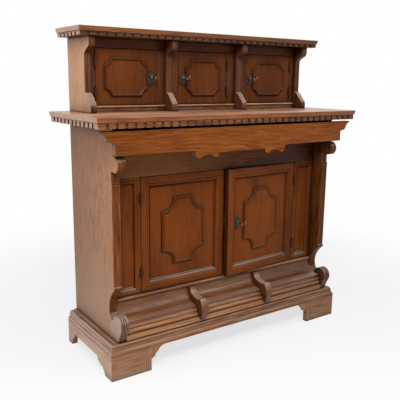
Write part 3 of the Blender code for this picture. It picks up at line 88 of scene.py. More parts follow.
class Graph:
    """Builds the node tree of a material or a world, a node at a time."""

    def __init__(self, owner: bpy.types.Material | bpy.types.World) -> None:
        """Start on a material or a world, with the nodes that it has from the start.

        Args:
            owner: Material or world.
        """
        owner.use_nodes = True
        self.material = owner
        self.tree = owner.node_tree
        self.shader = self.tree.nodes.get("Principled BSDF")

    def seen(self) -> Socket:
        """1 for rays of the camera, of reflections and through glass, and 0 for others."""
        rays = self.add("ShaderNodeLightPath").outputs
        sharp = self.math("MAXIMUM", rays["Is Glossy Ray"], rays["Is Transmission Ray"])
        return self.math("MAXIMUM", rays["Is Camera Ray"], sharp)

    def put(self, socket: Socket, value: Any) -> None:
        """Link a socket to another one, or set its own value.

        Args:
            socket: Input socket to fill.
            value: Output socket, number, vector or colour.
        """
        if isinstance(value, bpy.types.NodeSocket):
            self.tree.links.new(value, socket)
        elif socket.type == "RGBA" and len(value) == 3:
            socket.default_value = (*value, 1.0)
        else:
            socket.default_value = value

    def add(self, kind: str, inputs: Optional[dict[Any, Any]] = None, **settings: Any) -> bpy.types.Node:
        """Add a node with its settings and inputs.

        Args:
            kind: Type name of the node.
            inputs: Values or sockets for its inputs, by name or index.
            **settings: Properties of the node.

        Returns:
            The new node.
        """
        node = self.tree.nodes.new(kind)
        for key, value in settings.items():
            setattr(node, key, value)
        for key, value in (inputs or {}).items():
            self.put(node.inputs[key], value)
        return node

    def math(self, operation: str, first: Any, second: Any = 0.0) -> Socket:
        """Result of one arithmetic step."""
        return self.add("ShaderNodeMath", {0: first, 1: second}, operation=operation).outputs[0]

    def vector(self, operation: str, first: Any, second: Any) -> Socket:
        """Result of one vector step, such as a scaling per axis."""
        return self.add("ShaderNodeVectorMath", {0: first, 1: second}, operation=operation).outputs[0]

    def times(self, first: Any, second: Any) -> Socket:
        """Product of two values."""
        return self.math("MULTIPLY", first, second)

    def parts(self, vector: Socket) -> Sequence[Socket]:
        """Outputs with the three parts of a vector."""
        return self.add("ShaderNodeSeparateXYZ", {0: vector}).outputs

    def length(self, vector: Socket) -> Socket:
        """Length of a vector."""
        return self.add("ShaderNodeVectorMath", {0: vector}, operation="LENGTH").outputs["Value"]

    def openness(self, distance: float) -> Socket:
        """Share of the air within a distance that is open: 1 on a flat, less in a corner."""
        return self.add("ShaderNodeAmbientOcclusion", {"Distance": distance}, samples=6).outputs["AO"]

    def drawn(self, place: Socket, stretch: Colour, detail: float) -> Socket:
        """Noise with its own number of spots per metre along each axis."""
        return self.noise(self.vector("MULTIPLY", place, stretch), 1.0, detail)

    def facing(self, radius: float) -> Socket:
        """How well a surface agrees with itself rounded off.

        Args:
            radius: Radius of the rounding in metres.

        Returns:
            Output socket with 1 on a flat and less along an edge.
        """
        normal = self.add("ShaderNodeNewGeometry").outputs["Normal"]
        rounded = self.add("ShaderNodeBevel", {"Radius": radius}, samples=4).outputs[0]
        both = {0: rounded, 1: normal}
        return self.add("ShaderNodeVectorMath", both, operation="DOT_PRODUCT").outputs["Value"]

    def total(self, *terms: tuple[Any, float]) -> Socket:
        """Weighted sum.

        Args:
            *terms: Value and weight of each term.

        Returns:
            Output socket with the sum.
        """
        running: Any = 0.0
        for value, weight in terms:
            step = self.add("ShaderNodeMath", {0: value, 1: weight, 2: running}, operation="MULTIPLY_ADD")
            running = step.outputs[0]
        return running

    def noise(self, place: Any, scale: float, detail: float, roughness: float = 0.5) -> Socket:
        """Smooth noise over a place."""
        inputs = {"Vector": place, "Scale": scale, "Detail": detail, "Roughness": roughness}
        return self.add("ShaderNodeTexNoise", inputs).outputs["Fac"]

    def span(self, value: Any, low: float, high: float, start: float = 0.0, end: float = 1.0) -> Socket:
        """Smooth step of a value between two limits."""
        inputs = {"Value": value, "From Min": low, "From Max": high, "To Min": start, "To Max": end}
        return self.add("ShaderNodeMapRange", inputs, interpolation_type="SMOOTHSTEP").outputs[0]

    def mix(self, share: Any, under: Any, over: Any, blend: str = "MIX") -> Socket:
        """Mix of two colours."""
        inputs = {0: share, 6: under, 7: over}
        return self.add("ShaderNodeMix", inputs, data_type="RGBA", blend_type=blend).outputs[2]

    def ramp(self, value: Any, stops: Sequence[tuple[float, Colour]]) -> Socket:
        """Colour along a row of stops.

        Args:
            value: Place along the row.
            stops: Place and colour of each stop.

        Returns:
            Output socket with the colour.
        """
        node = self.add("ShaderNodeValToRGB", {"Fac": value})
        bar = node.color_ramp
        while len(bar.elements) < len(stops):
            bar.elements.new(0.5)
        for element, (place, colour) in zip(bar.elements, stops):
            element.position = place
            element.color = (*colour, 1.0)
        return node.outputs["Color"]

    def bump(self, height: Any, distance: float, strength: float, under: Optional[Socket] = None) -> Socket:
        """Surface relief.

        Args:
            height: Height of the relief, from 0 to 1.
            distance: Depth of the relief in metres.
            strength: Share of it that shows.
            under: Relief that this one lies on.

        Returns:
            Output socket with the normal.
        """
        node = self.add("ShaderNodeBump", {"Height": height, "Distance": distance, "Strength": strength})
        if under is not None:
            self.put(node.inputs["Normal"], under)
        return node.outputs["Normal"]


@dataclass(frozen=True)
class Glow:
    """Patch of a board painted lighter and warmer, with arched growth lines if any."""

    centre: Vector
    reach: float
    strength: float
    flame: float = 0.0
    arch: float = 42.0
    line_pitch: float = 0.014


@dataclass(frozen=True)
class Pattern:
    """Sockets of a wood's growth rings and lines, streaks, fibres, pores and broad tone."""

    rings: Socket
    lines: Socket
    streaks: Socket
    fibres: Socket
    pores: Socket
    tone: Socket


@dataclass(frozen=True)
class WoodFinish:
    """Waxed or polished wood with figure, fibres, pores, worn edges, grime, and painted shade and sheen."""

    name: str
    slot: str
    deep: Colour
    body: Colour
    light: Colour
    faded: Colour = (0.33, 0.175, 0.105)
    fade: float = 0.0
    rings: float = 30.0
    figure: float = 3.4
    fleck: float = 0.4
    gloss: float = 0.36
    shine: float = 0.2
    wear: float = 0.5
    # Shares of grime with painted shade in tight corners, and of patina with painted shade in recesses.
    grime_and_shade: float = 0.85
    patina_and_shade: float = 0.42
    worn: Colour = (0.30, 0.150, 0.075)
    contrast: float = 1.3
    blotch: float = 0.22
    # Share and colour of painted sheen, with settled wax and dust, on what looks up.
    dust_and_sheen: float = 0.0
    dust_and_sheen_colour: Colour = (0.44, 0.33, 0.25)
    ledge: tuple[float, float] = (0.2, 0.75)
    # Share of crazed varnish; a finish with it also gets a side's paler foot and painted light and shadow.
    mottle: float = 0.0
    # Colour that a side pales to towards its foot.
    pale_foot_colour: Colour = (0.410, 0.255, 0.172)
    scuff: float = 0.0
    scuffed: Colour = (0.46, 0.34, 0.21)
    veins: float = 0.0
    # Share of painted shade that deepens towards the right end, where less light falls.
    painted_shade_right: float = 0.0
    knots: tuple[tuple[float, float, float, float], ...] = ()

    def material(self, grain: Grain, seed: int, glow: Optional[Glow] = None) -> bpy.types.Material:
        """Material of one board.

        Args:
            grain: Way that the board's grain runs.
            seed: Number that moves the figure, so that no two boards match.
            glow: Patch painted lighter, if any.

        Returns:
            The new material.
        """
        graph = Graph(bpy.data.materials.new(f"{self.name}_{seed}"))
        coords = graph.add("ShaderNodeTexCoord")
        shift = (seed * 1.37 % 7.0, seed * 0.71 % 5.0, seed * 2.13 % 6.0)
        mapping = {"Vector": coords.outputs["Object"], "Rotation": grain.value, "Location": shift}
        place = graph.add("ShaderNodeMapping", mapping).outputs["Vector"]
        pattern = self.pattern(graph, place, coords.outputs["Object"])
        lean = (seed * 0.618 % 1.0 - 0.5) * 0.10
        local = graph.total((pattern.rings, 0.10), (pattern.streaks, 0.23), (pattern.fibres, 0.22))
        level = lean + 0.20 + 0.285 * (1.0 - self.contrast) - 0.5 * self.blotch
        amount = graph.total((local, self.contrast), (pattern.tone, self.blotch), (1.0, level))
        colour = graph.ramp(amount, ((0.10, self.deep), (0.48, self.body), (0.90, self.light)))
        # Painted shade: the colour darkens towards the right end, where less light falls.
        if self.painted_shade_right:
            run = graph.parts(coords.outputs["Object"])[0]
            dim = shade(self.deep, 0.3)
            colour = graph.mix(graph.span(run, -0.22, 0.58, 0.0, self.painted_shade_right), colour, dim)
        if self.fade:
            colour = self.bleach(graph, coords, amount, colour)
        if glow is not None:
            colour = self.lighten_patch(graph, coords.outputs["Object"], glow, colour)
        if self.veins:
            colour = graph.mix(graph.times(pattern.lines, self.veins), colour, self.deep)
        colour = graph.mix(graph.times(pattern.pores, self.fleck), colour, self.deep, "MULTIPLY")
        # Painted sheen, with settled wax and dust, on the faces that look up.
        if self.dust_and_sheen:
            colour = self.paint_dust_and_sheen(graph, coords, pattern, colour)
        if self.scuff:
            height = graph.parts(coords.outputs["Object"])[2]
            level = graph.total((height, 1.0), (pattern.tone, 0.03))
            colour = graph.mix(graph.span(level, 0.062, 0.012, 0.0, self.scuff), colour, self.scuffed)
        edge, corner = self.weathering(graph, pattern.tone)
        colour = graph.mix(graph.times(edge, self.wear), colour, self.worn)
        # Painted shade with patina in recesses, then grime with painted shade in tight corners.
        grime_and_shade_colour = shade(self.deep, 0.12)
        hollow = graph.openness(0.06)
        colour = graph.mix(graph.span(hollow, 0.97, 0.5, 0.0, self.patina_and_shade), colour, grime_and_shade_colour)
        colour = graph.mix(graph.times(corner, self.grime_and_shade), colour, grime_and_shade_colour)
        self.lay(graph, colour, pattern, (edge, corner))
        return graph.material

    def darker(self, share: float) -> "WoodFinish":
        """Same finish with its colours and sheen scaled down, mostly for painted shade.

        Args:
            share: Share of the colour that is left.

        Returns:
            The dimmer finish.
        """
        deep, body, light = (shade(colour, share) for colour in (self.deep, self.body, self.light))
        return replace(self, name=self.name + "_dark", deep=deep, body=body, light=light,
                       dust_and_sheen=share * self.dust_and_sheen)

    def pattern(self, graph: Graph, place: Socket, raw: Socket) -> Pattern:
        """Growth rings and lines, streaks, fibres, pores and broad tone of the wood.

        Args:
            graph: Node tree to build in.
            place: Coordinates with the grain along their first axis.
            raw: Object coordinates, in which the knots are placed.

        Returns:
            Output sockets of the patterns.
        """
        drawn = graph.vector("MULTIPLY", place, (0.14, 1.0, 1.0))
        sway = graph.times(graph.noise(drawn, 6.0, 2.0), 0.08)
        flow = graph.vector("ADD", drawn, graph.add("ShaderNodeCombineXYZ", {1: sway, 2: sway}).outputs[0])
        ripple = graph.drawn(flow, (110.0, 70.0, 70.0), 2.0)
        turns = graph.total((graph.noise(flow, self.figure, 1.0, 0.3), self.rings), (ripple, 0.5))
        for *centre, reach in self.knots:
            away = graph.vector("MULTIPLY", graph.vector("SUBTRACT", raw, centre), (0.4, 1.0, 1.0))
            length = graph.length(away)
            turns = graph.total((turns, 1.0), (graph.span(length, 0.0, reach, 1.0, 0.0), 3.2))
        wave = graph.math("SINE", graph.times(turns, 2 * math.pi))
        rings = graph.span(wave, -1.0, 0.2)
        broken = graph.span(graph.drawn(flow, (40.0, 30.0, 30.0), 2.0), 0.38, 0.62)
        lines = graph.times(graph.span(wave, 0.55, 0.98), broken)
        streaks = graph.span(graph.drawn(flow, (50.0, 150.0, 150.0), 3.0), 0.32, 0.68)
        fibres = graph.span(graph.drawn(place, (9.0, 260.0, 260.0), 3.0), 0.3, 0.7)
        dashes = graph.drawn(flow, (85.0, 320.0, 320.0), 2.0)
        pores = graph.span(dashes, 0.57, 0.72)
        tone = graph.span(graph.noise(graph.vector("MULTIPLY", place, (0.6, 1.6, 1.6)), 3.2, 3.0), 0.3, 0.7)
        return Pattern(rings, lines, streaks, fibres, pores, tone)

    def bleach(self, graph: Graph, coords: bpy.types.Node, amount: Socket, colour: Socket) -> Socket:
        """Fade the faces that look out to the ends, where the light of a room has paled them.

        Args:
            graph: Node tree to build in.
            coords: Texture coordinate node.
            amount: Place of the pattern between dark and light.
            colour: Colour so far.

        Returns:
            Output socket with the faded colour.
        """
        lean = graph.parts(coords.outputs["Normal"])[0]
        parts = graph.parts(coords.outputs["Object"])
        side = graph.math("SIGN", parts[0])
        share = graph.times(graph.span(graph.times(lean, side), 0.55, 0.9), self.fade)
        dim = shade(self.faded, 0.66)
        bright = shade(self.faded, 1.12)
        faded = graph.ramp(amount, ((0.1, dim), (0.48, self.faded), (0.9, bright)))
        if self.mottle:
            faded = self.speckle(graph, coords.outputs["Object"], faded)
        return graph.mix(share, colour, faded)

    def speckle(self, graph: Graph, place: Socket, colour: Socket) -> Socket:
        """Crazed varnish towards the front of a faded side, a paler foot, and painted light and shadow.

        Args:
            graph: Node tree to build in.
            place: Object coordinates.
            colour: Colour so far.

        Returns:
            Output socket with the colour.
        """
        parts = graph.parts(place)
        front = graph.span(parts[1], 0.06, -0.10, 0.12, 1.0)
        high = graph.span(parts[2], 0.35, 0.75, 0.3, 1.0)
        reach = graph.times(graph.times(front, high), self.mottle)
        spots = graph.noise(graph.vector("MULTIPLY", place, (1.0, 1.0, 0.7)), 90.0, 4.0, 0.65)
        dark, bright = shade(self.faded, 0.5), shade(self.faded, 1.3)
        colour = graph.mix(graph.times(graph.span(spots, 0.52, 0.66), reach), colour, dark)
        colour = graph.mix(graph.times(graph.span(spots, 0.48, 0.36), reach), colour, bright)
        # Paler towards the foot.
        colour = graph.mix(graph.span(parts[2], 0.58, 0.22, 0.0, 0.72), colour, self.pale_foot_colour)
        # Painted shadow under the counter, at the top of the side.
        colour = graph.mix(graph.span(parts[2], 0.92, 0.985, 0.0, 0.35), colour, dark)
        # Painted light towards the front of the side, and painted shade towards its back.
        colour = graph.mix(graph.span(parts[1], 0.02, -0.16, 0.0, 0.4), colour, bright)
        return graph.mix(graph.span(parts[1], -0.06, 0.23, 0.0, 0.4), colour, dark)

    def lighten_patch(self, graph: Graph, place: Socket, glow: Glow, colour: Socket) -> Socket:
        """Paint a patch lighter: painted light at the frieze's left end, a lighter middle on a door's field.

        Args:
            graph: Node tree to build in.
            place: Object coordinates.
            glow: Patch to lighten.
            colour: Colour so far.

        Returns:
            Output socket with the colour.
        """
        away = graph.vector("SUBTRACT", place, glow.centre)
        length = graph.length(away)
        share = graph.span(length, 0.0, glow.reach, glow.strength, 0.0)
        colour = graph.mix(share, colour, self.light)
        if not glow.flame:
            return colour
        parts = graph.parts(away)
        bow = graph.times(parts[0], parts[0])
        height = graph.total((parts[2], 1.0), (bow, glow.arch), (graph.noise(place, 22.0, 3.0), 0.035))
        wave = graph.math("SINE", graph.times(height, 2 * math.pi / glow.line_pitch))
        lines = graph.times(graph.span(wave, 0.0, 0.95), graph.span(length, 0.03, glow.reach, 1.0, 0.0))
        return graph.mix(graph.times(lines, glow.flame), colour, self.deep)

    def paint_dust_and_sheen(self, graph: Graph, coords: bpy.types.Node, pattern: Pattern, colour: Socket) -> Socket:
        """Pale what looks up with painted sheen, and with the old wax and dust settled there.

        Args:
            graph: Node tree to build in.
            coords: Texture coordinate node.
            pattern: Pattern of the wood, which breaks the sheen and dust up.
            colour: Colour so far.

        Returns:
            Output socket with the colour.
        """
        rise = graph.parts(coords.outputs["Normal"])[2]
        worked = graph.total((pattern.tone, 0.55), (pattern.streaks, 0.25), (pattern.fibres, 0.2))
        broken = graph.span(worked, 0.15, 0.85, 0.4 * self.dust_and_sheen, min(1.0, 1.2 * self.dust_and_sheen))
        return graph.mix(graph.times(graph.span(rise, *self.ledge), broken), colour, self.dust_and_sheen_colour)

    def weathering(self, graph: Graph, tone: Socket) -> tuple[Socket, Socket]:
        """Masks of rubbed edges, and of grime and painted shade in corners.

        Args:
            graph: Node tree to build in.
            tone: Broad tone, which breaks the masks up.

        Returns:
            Output sockets of the two masks.
        """
        facing = graph.facing(0.0035)
        occlusion = graph.openness(0.014)
        open_air = graph.span(occlusion, 0.6, 0.95)
        broken = graph.span(tone, 0.1, 0.9, 0.4, 1.0)
        edge = graph.times(graph.span(facing, 0.995, 0.86), graph.times(open_air, broken))
        corner = graph.span(occlusion, 0.90, 0.46)
        return edge, corner

    def lay(self, graph: Graph, colour: Socket, pattern: Pattern, masks: tuple[Socket, Socket]) -> None:
        """Set the shader's colour, roughness, polish and relief.

        Args:
            graph: Node tree to build in.
            colour: Final colour.
            pattern: Pattern of the wood.
            masks: Rubbed edges, and grime and painted shade in corners.
        """
        edge, corner = masks
        rough = graph.total((pattern.fibres, 0.10), (pattern.tone, 0.12), (corner, 0.25), (edge, 0.06),
                            (1.0, self.gloss - 0.10))
        graph.put(graph.shader.inputs["Base Color"], colour)
        graph.put(graph.shader.inputs["Roughness"], rough)
        graph.shader.inputs["Specular IOR Level"].default_value = self.shine
        relief = graph.total((pattern.fibres, 0.6), (pattern.streaks, 0.3), (pattern.rings, 0.2),
                             (pattern.pores, -0.9))
        planed = graph.bump(pattern.tone, 0.004, 0.12)
        graph.put(graph.shader.inputs["Normal"], graph.bump(relief, 0.0007, 0.4, planed))


@dataclass(frozen=True)
class MetalFinish:
    """Aged metal with pitting, edges painted brighter as wear and as painted highlight, and tarnish in
    between.
    """

    name: str
    slot: str
    dark: Colour
    bright: Colour
    tarnish: Colour
    gloss: float = 0.45
    metal: float = 0.85
    shine: float = 0.5

    def material(self) -> bpy.types.Material:
        """Material of the metal pieces.

        Returns:
            The new material.
        """
        graph = Graph(bpy.data.materials.new(self.name))
        place = graph.add("ShaderNodeTexCoord").outputs["Object"]
        patch = graph.noise(place, 140.0, 4.0, 0.6)
        pits = graph.noise(place, 900.0, 2.0)
        facing = graph.facing(0.0012)
        colour = graph.mix(graph.span(patch, 0.48, 0.66), self.dark, self.tarnish)
        # Edges painted brighter: worn metal, and painted highlight.
        colour = graph.mix(graph.span(facing, 0.99, 0.8, 0.0, 0.8), colour, self.bright)
        graph.put(graph.shader.inputs["Base Color"], colour)
        rough = graph.span(patch, 0.3, 0.7, self.gloss - 0.12, self.gloss + 0.2)
        graph.put(graph.shader.inputs["Roughness"], rough)
        graph.shader.inputs["Metallic"].default_value = self.metal
        graph.shader.inputs["Specular IOR Level"].default_value = self.shine
        dents = graph.bump(patch, 0.0012, 0.35)
        graph.put(graph.shader.inputs["Normal"], graph.bump(pits, 0.0003, 0.5, dents))
        return graph.material


# Painted light in the finishes: sheen on what looks up, shade in corners and recesses and towards the right.
CASE_POLISH = WoodFinish("case_polish", "wood_brown", (0.080, 0.022, 0.005), (0.172, 0.052, 0.012),
                         (0.270, 0.095, 0.028), gloss=0.30, shine=0.24, veins=0.4)
LEDGE_POLISH = replace(CASE_POLISH, name="ledge_polish", dust_and_sheen=0.45)
# Lighter wood and strong sheen: painted highlight along the hutch's nosing.
NOSING_POLISH = replace(CASE_POLISH, name="nosing_polish", body=(0.240, 0.090, 0.034),
                        light=(0.380, 0.180, 0.090), patina_and_shade=0.0, dust_and_sheen=0.95, dust_and_sheen_colour=(0.60, 0.44, 0.34))
# Painted sheen near the lip, where the cove looks up, and painted shade towards the right.
COVE_POLISH = replace(CASE_POLISH, name="cove_polish", gloss=0.24, shine=0.42, patina_and_shade=0.1, painted_shade_right=0.5, dust_and_sheen=0.75,
                      dust_and_sheen_colour=(0.42, 0.27, 0.20), ledge=(0.90, 0.995))
BRACKET_POLISH = replace(CASE_POLISH.darker(0.85), name="bracket_polish", patina_and_shade=0.2, dust_and_sheen=0.6,
                         shine=0.4, painted_shade_right=0.3, dust_and_sheen_colour=(0.48, 0.34, 0.25))
REED_POLISH = WoodFinish("reed_polish", "wood_brown", (0.160, 0.057, 0.018), (0.335, 0.138, 0.052),
                         (0.450, 0.210, 0.096), gloss=0.32, shine=0.34, worn=(0.46, 0.25, 0.14), contrast=1.5,
                         grime_and_shade=1.0, patina_and_shade=0.15, painted_shade_right=0.5)
COUNTER_POLISH = WoodFinish("counter_polish", "wood_brown", (0.115, 0.029, 0.005), (0.250, 0.072, 0.013),
                            (0.365, 0.125, 0.030), (0.47, 0.285, 0.185), fade=1.0, gloss=0.30, shine=0.34,
                            wear=0.9, grime_and_shade=0.6, worn=(0.58, 0.37, 0.23), contrast=1.5, dust_and_sheen=0.7,
                            dust_and_sheen_colour=(0.52, 0.31, 0.21), painted_shade_right=0.3)
DENTIL_WAX = WoodFinish("dentil_wax", "wood_brown", (0.085, 0.024, 0.006), (0.185, 0.060, 0.018),
                        (0.290, 0.106, 0.036), (0.47, 0.285, 0.185), fade=1.0, gloss=0.36, wear=0.12,
                        grime_and_shade=0.5, contrast=1.6, painted_shade_right=0.35)
DRAWER_POLISH = WoodFinish("drawer_polish", "wood_brown", (0.105, 0.025, 0.003), (0.250, 0.068, 0.009),
                           (0.365, 0.118, 0.021), (0.30, 0.18, 0.11), fade=0.6, rings=44.0, fleck=0.55,
                           shine=0.12, contrast=1.0, veins=0.75,
                           knots=((-0.33, -0.22, 0.935, 0.034), (0.13, -0.22, 0.95, 0.040),
                                  (0.37, -0.22, 0.925, 0.03)))
SIDE_WAX = WoodFinish("side_wax", "wood_pale", (0.072, 0.018, 0.003), (0.158, 0.042, 0.007),
                      (0.240, 0.078, 0.018), (0.361, 0.170, 0.085), fade=1.0, gloss=0.42, shine=0.12,
                      grime_and_shade=0.5, contrast=2.2, dust_and_sheen=0.6, dust_and_sheen_colour=(0.50, 0.39, 0.32), mottle=0.7)
# Dark body colours: painted shade on the front edges under the hutch top.
HUTCH_WAX = WoodFinish("hutch_wax", "wood_pale", (0.040, 0.011, 0.003), (0.086, 0.025, 0.007),
                       (0.140, 0.049, 0.016), (0.520, 0.274, 0.139), fade=1.0, gloss=0.36, contrast=3.2,
                       dust_and_sheen=0.6, dust_and_sheen_colour=(0.50, 0.36, 0.28))
FOOT_WAX = WoodFinish("foot_wax", "wood_pale", (0.165, 0.068, 0.033), (0.330, 0.150, 0.080),
                      (0.425, 0.220, 0.130), (0.60, 0.385, 0.275), fade=0.85, gloss=0.44, contrast=1.3,
                      scuff=0.6, veins=0.3)
PLINTH_WAX = WoodFinish("plinth_wax", "wood_brown", (0.105, 0.038, 0.014), (0.235, 0.095, 0.038),
                        (0.340, 0.155, 0.075), (0.490, 0.330, 0.240), fade=0.8, gloss=0.32, shine=0.3,
                        contrast=1.6, dust_and_sheen=0.4, dust_and_sheen_colour=(0.40, 0.26, 0.18), painted_shade_right=0.25)
VOLUTE_WAX = WoodFinish("volute_wax", "wood_pale", (0.080, 0.026, 0.008), (0.180, 0.066, 0.022),
                        (0.300, 0.140, 0.066), (0.385, 0.262, 0.195), fade=0.95, gloss=0.30, shine=0.36,
                        worn=(0.42, 0.28, 0.19), contrast=1.5, dust_and_sheen=0.55)
DOOR_POLISH = WoodFinish("door_polish", "wood_red", (0.080, 0.018, 0.003), (0.160, 0.039, 0.006),
                         (0.236, 0.057, 0.008), gloss=0.32, shine=0.07, grime_and_shade=0.95, worn=(0.24, 0.090, 0.028),
                         contrast=0.7, blotch=0.42, dust_and_sheen=0.65, veins=0.25, painted_shade_right=0.08)
FIELD_POLISH = replace(DOOR_POLISH, name="field_polish", dust_and_sheen=0.2)
LEAF_POLISH = replace(FIELD_POLISH, name="leaf_polish", deep=(0.080, 0.020, 0.005),
                      body=(0.160, 0.044, 0.010), light=(0.240, 0.066, 0.015), painted_shade_right=0.0)
# Dark wood of the hutch's frieze and stiles: painted shade in the recess under the hutch top.
SHADED_RECESS_POLISH = WoodFinish("shaded_recess_polish", "wood_red", (0.064, 0.017, 0.004), (0.122, 0.034, 0.008),
                           (0.180, 0.058, 0.015), gloss=0.38, shine=0.14, patina_and_shade=0.2,
                           worn=(0.20, 0.080, 0.030))
DIVIDER_WAX = replace(SHADED_RECESS_POLISH, name="divider_wax", deep=(0.052, 0.018, 0.009),
                      body=(0.110, 0.037, 0.018), light=(0.165, 0.062, 0.034),
                      patina_and_shade=0.1, dust_and_sheen=0.45, dust_and_sheen_colour=(0.56, 0.41, 0.34))
# Dark wood: painted shade under the drawer; its light colour makes the painted light at its left end.
FRIEZE_POLISH = WoodFinish("frieze_polish", "wood_red", (0.046, 0.013, 0.003), (0.088, 0.025, 0.005),
                           (0.290, 0.100, 0.025), gloss=0.38, shine=0.14, worn=(0.24, 0.10, 0.04),
                           contrast=1.0, painted_shade_right=0.45)
BARE_WOOD = WoodFinish("bare_wood", "wood_raw", (0.200, 0.112, 0.052), (0.350, 0.215, 0.112),
                       (0.450, 0.300, 0.170), gloss=0.62, wear=0.2)
DARK_IRON = MetalFinish("dark_iron", "iron_dark", (0.044, 0.017, 0.008), (0.090, 0.036, 0.016),
                        (0.058, 0.022, 0.010), gloss=0.55, metal=0.0, shine=0.15)
# The bright colours of the plates and keys are worn edges with painted highlight.
BLACK_PLATE = MetalFinish("black_plate", "iron_dark", (0.020, 0.014, 0.008), (0.36, 0.31, 0.23),
                          (0.060, 0.044, 0.026), gloss=0.36, metal=0.6)
WORN_STEEL = MetalFinish("worn_steel", "iron_dark", (0.15, 0.125, 0.09), (0.62, 0.56, 0.46),
                         (0.050, 0.036, 0.024), gloss=0.28)
AGED_BRASS = MetalFinish("aged_brass", "brass_aged", (0.170, 0.125, 0.070), (0.42, 0.33, 0.18),
                         (0.09, 0.065, 0.035))


@dataclass(frozen=True)
class Cut:
    """Saw cut: a plane, and a normal on the side that falls away."""

    point: Vector
    normal: Vector


def pick(piece: Piece) -> None:
    """Make a piece the active one, and the only one selected.

    Args:
        piece: Piece to pick.
    """
    bpy.ops.object.select_all(action="DESELECT")
    piece.select_set(True)
    bpy.context.view_layer.objects.active = piece


def settled(name: str) -> Piece:
    """Name the primitive that was just added, and apply its place and turn to its mesh.

    Args:
        name: Name of the piece.

    Returns:
        The piece, with its object at the origin.
    """
    piece = bpy.context.active_object
    piece.name = name
    bpy.ops.object.transform_apply(location=True, rotation=True, scale=True)
    return piece


@contextmanager
def editing(piece: Piece, whole: bool = True) -> Iterator[None]:
    """Hold one piece in edit mode, with all of it or the faces marked before selected.

    Args:
        piece: Piece to edit.
        whole: Whether all of it is selected.

    Yields:
        Nothing; the piece leaves edit mode at the end.
    """
    pick(piece)
    bpy.context.tool_settings.mesh_select_mode = (whole, False, not whole)
    bpy.ops.object.mode_set(mode="EDIT")
    if whole:
        bpy.ops.mesh.select_all(action="SELECT")
    yield
    bpy.ops.object.mode_set(mode="OBJECT")


def soften(piece: Piece, width: float, segments: int = 2, angle: float = 34.0) -> None:
    """Ease a piece's sharp edges with a bevel, and shade its curves smooth.

    Args:
        piece: Piece to ease.
        width: Width of the bevel in metres.
        segments: Facets in the bevel.
        angle: Angle in degrees over which an edge is sharp.
    """
    pick(piece)
    if width:
        bevel = piece.modifiers.new("Eased", "BEVEL")
        bevel.width = width
        bevel.segments = segments
        bevel.limit_method = "ANGLE"
        bevel.angle_limit = math.radians(angle)
        bpy.ops.object.modifier_apply(modifier=bevel.name)
        with editing(piece):
            bpy.ops.mesh.dissolve_degenerate(threshold=WELD)
    bpy.ops.object.shade_smooth_by_angle(angle=math.radians(angle))
    level = piece.modifiers.new("Level", "WEIGHTED_NORMAL")
    level.weight = 90
    level.keep_sharp = True
    bpy.ops.object.modifier_apply(modifier=level.name)


def sawn(node: str, name: str, cuts: Sequence[Cut] = (), work: Optional[Work] = None) -> Piece:
    """Board with a solid's shape, worked and then sawn along planes.

    Args:
        node: Name of the solid.
        name: Name of the new piece.
        cuts: Saw cuts.
        work: Mouldings to work before the cuts, if any.

    Returns:
        The new piece, with clean faces.
    """
    piece = bpy.data.objects.new(name, frame["nodes"][node].data.copy())
    bpy.context.scene.collection.objects.link(piece)
    piece.data.materials.clear()
    with editing(piece):
        bpy.ops.mesh.remove_doubles(threshold=WELD)
        bpy.ops.mesh.customdata_custom_splitnormals_clear()
        bpy.ops.mesh.dissolve_limited(angle_limit=math.radians(0.5))
    if work is not None:
        work(piece)
    with editing(piece):
        for cut in cuts:
            bpy.ops.mesh.select_all(action="SELECT")
            bpy.ops.mesh.bisect(plane_co=cut.point, plane_no=cut.normal, use_fill=True, clear_outer=True)
        bpy.ops.mesh.select_all(action="SELECT")
        bpy.ops.mesh.remove_doubles(threshold=0.0004 if work is not None else 0.00005)
        bpy.ops.mesh.dissolve_limited(angle_limit=math.radians(0.5))
        bpy.ops.mesh.select_all(action="SELECT")
        bpy.ops.mesh.normals_make_consistent(inside=False)
    return piece


def grooved(piece: Piece, way: Vector, places: Sequence[float], gap: float, depth: float, near: PointTest,
            inward: Optional[Vector] = None) -> None:
    """Work V grooves into a board.

    Args:
        piece: Board to work.
        way: Direction across the grooves.
        places: Reach of each groove from the origin in that direction.
        gap: Half the width of a groove.
        depth: Depth of a groove.
        near: Test of the points that may be worked.
        inward: Direction that the grooves sink in, if it isn't each point's own.
    """
    with editing(piece):
        for middle in places:
            for place in (middle - gap, middle, middle + gap):
                bpy.ops.mesh.select_all(action="SELECT")
                bpy.ops.mesh.bisect(plane_co=way * place, plane_no=way)
    for vert in piece.data.vertices:
        reach = vert.co.dot(way)
        if near(vert.co) and any(abs(reach - middle) < 0.0002 for middle in places):
            vert.co += (-vert.normal if inward is None else inward) * depth


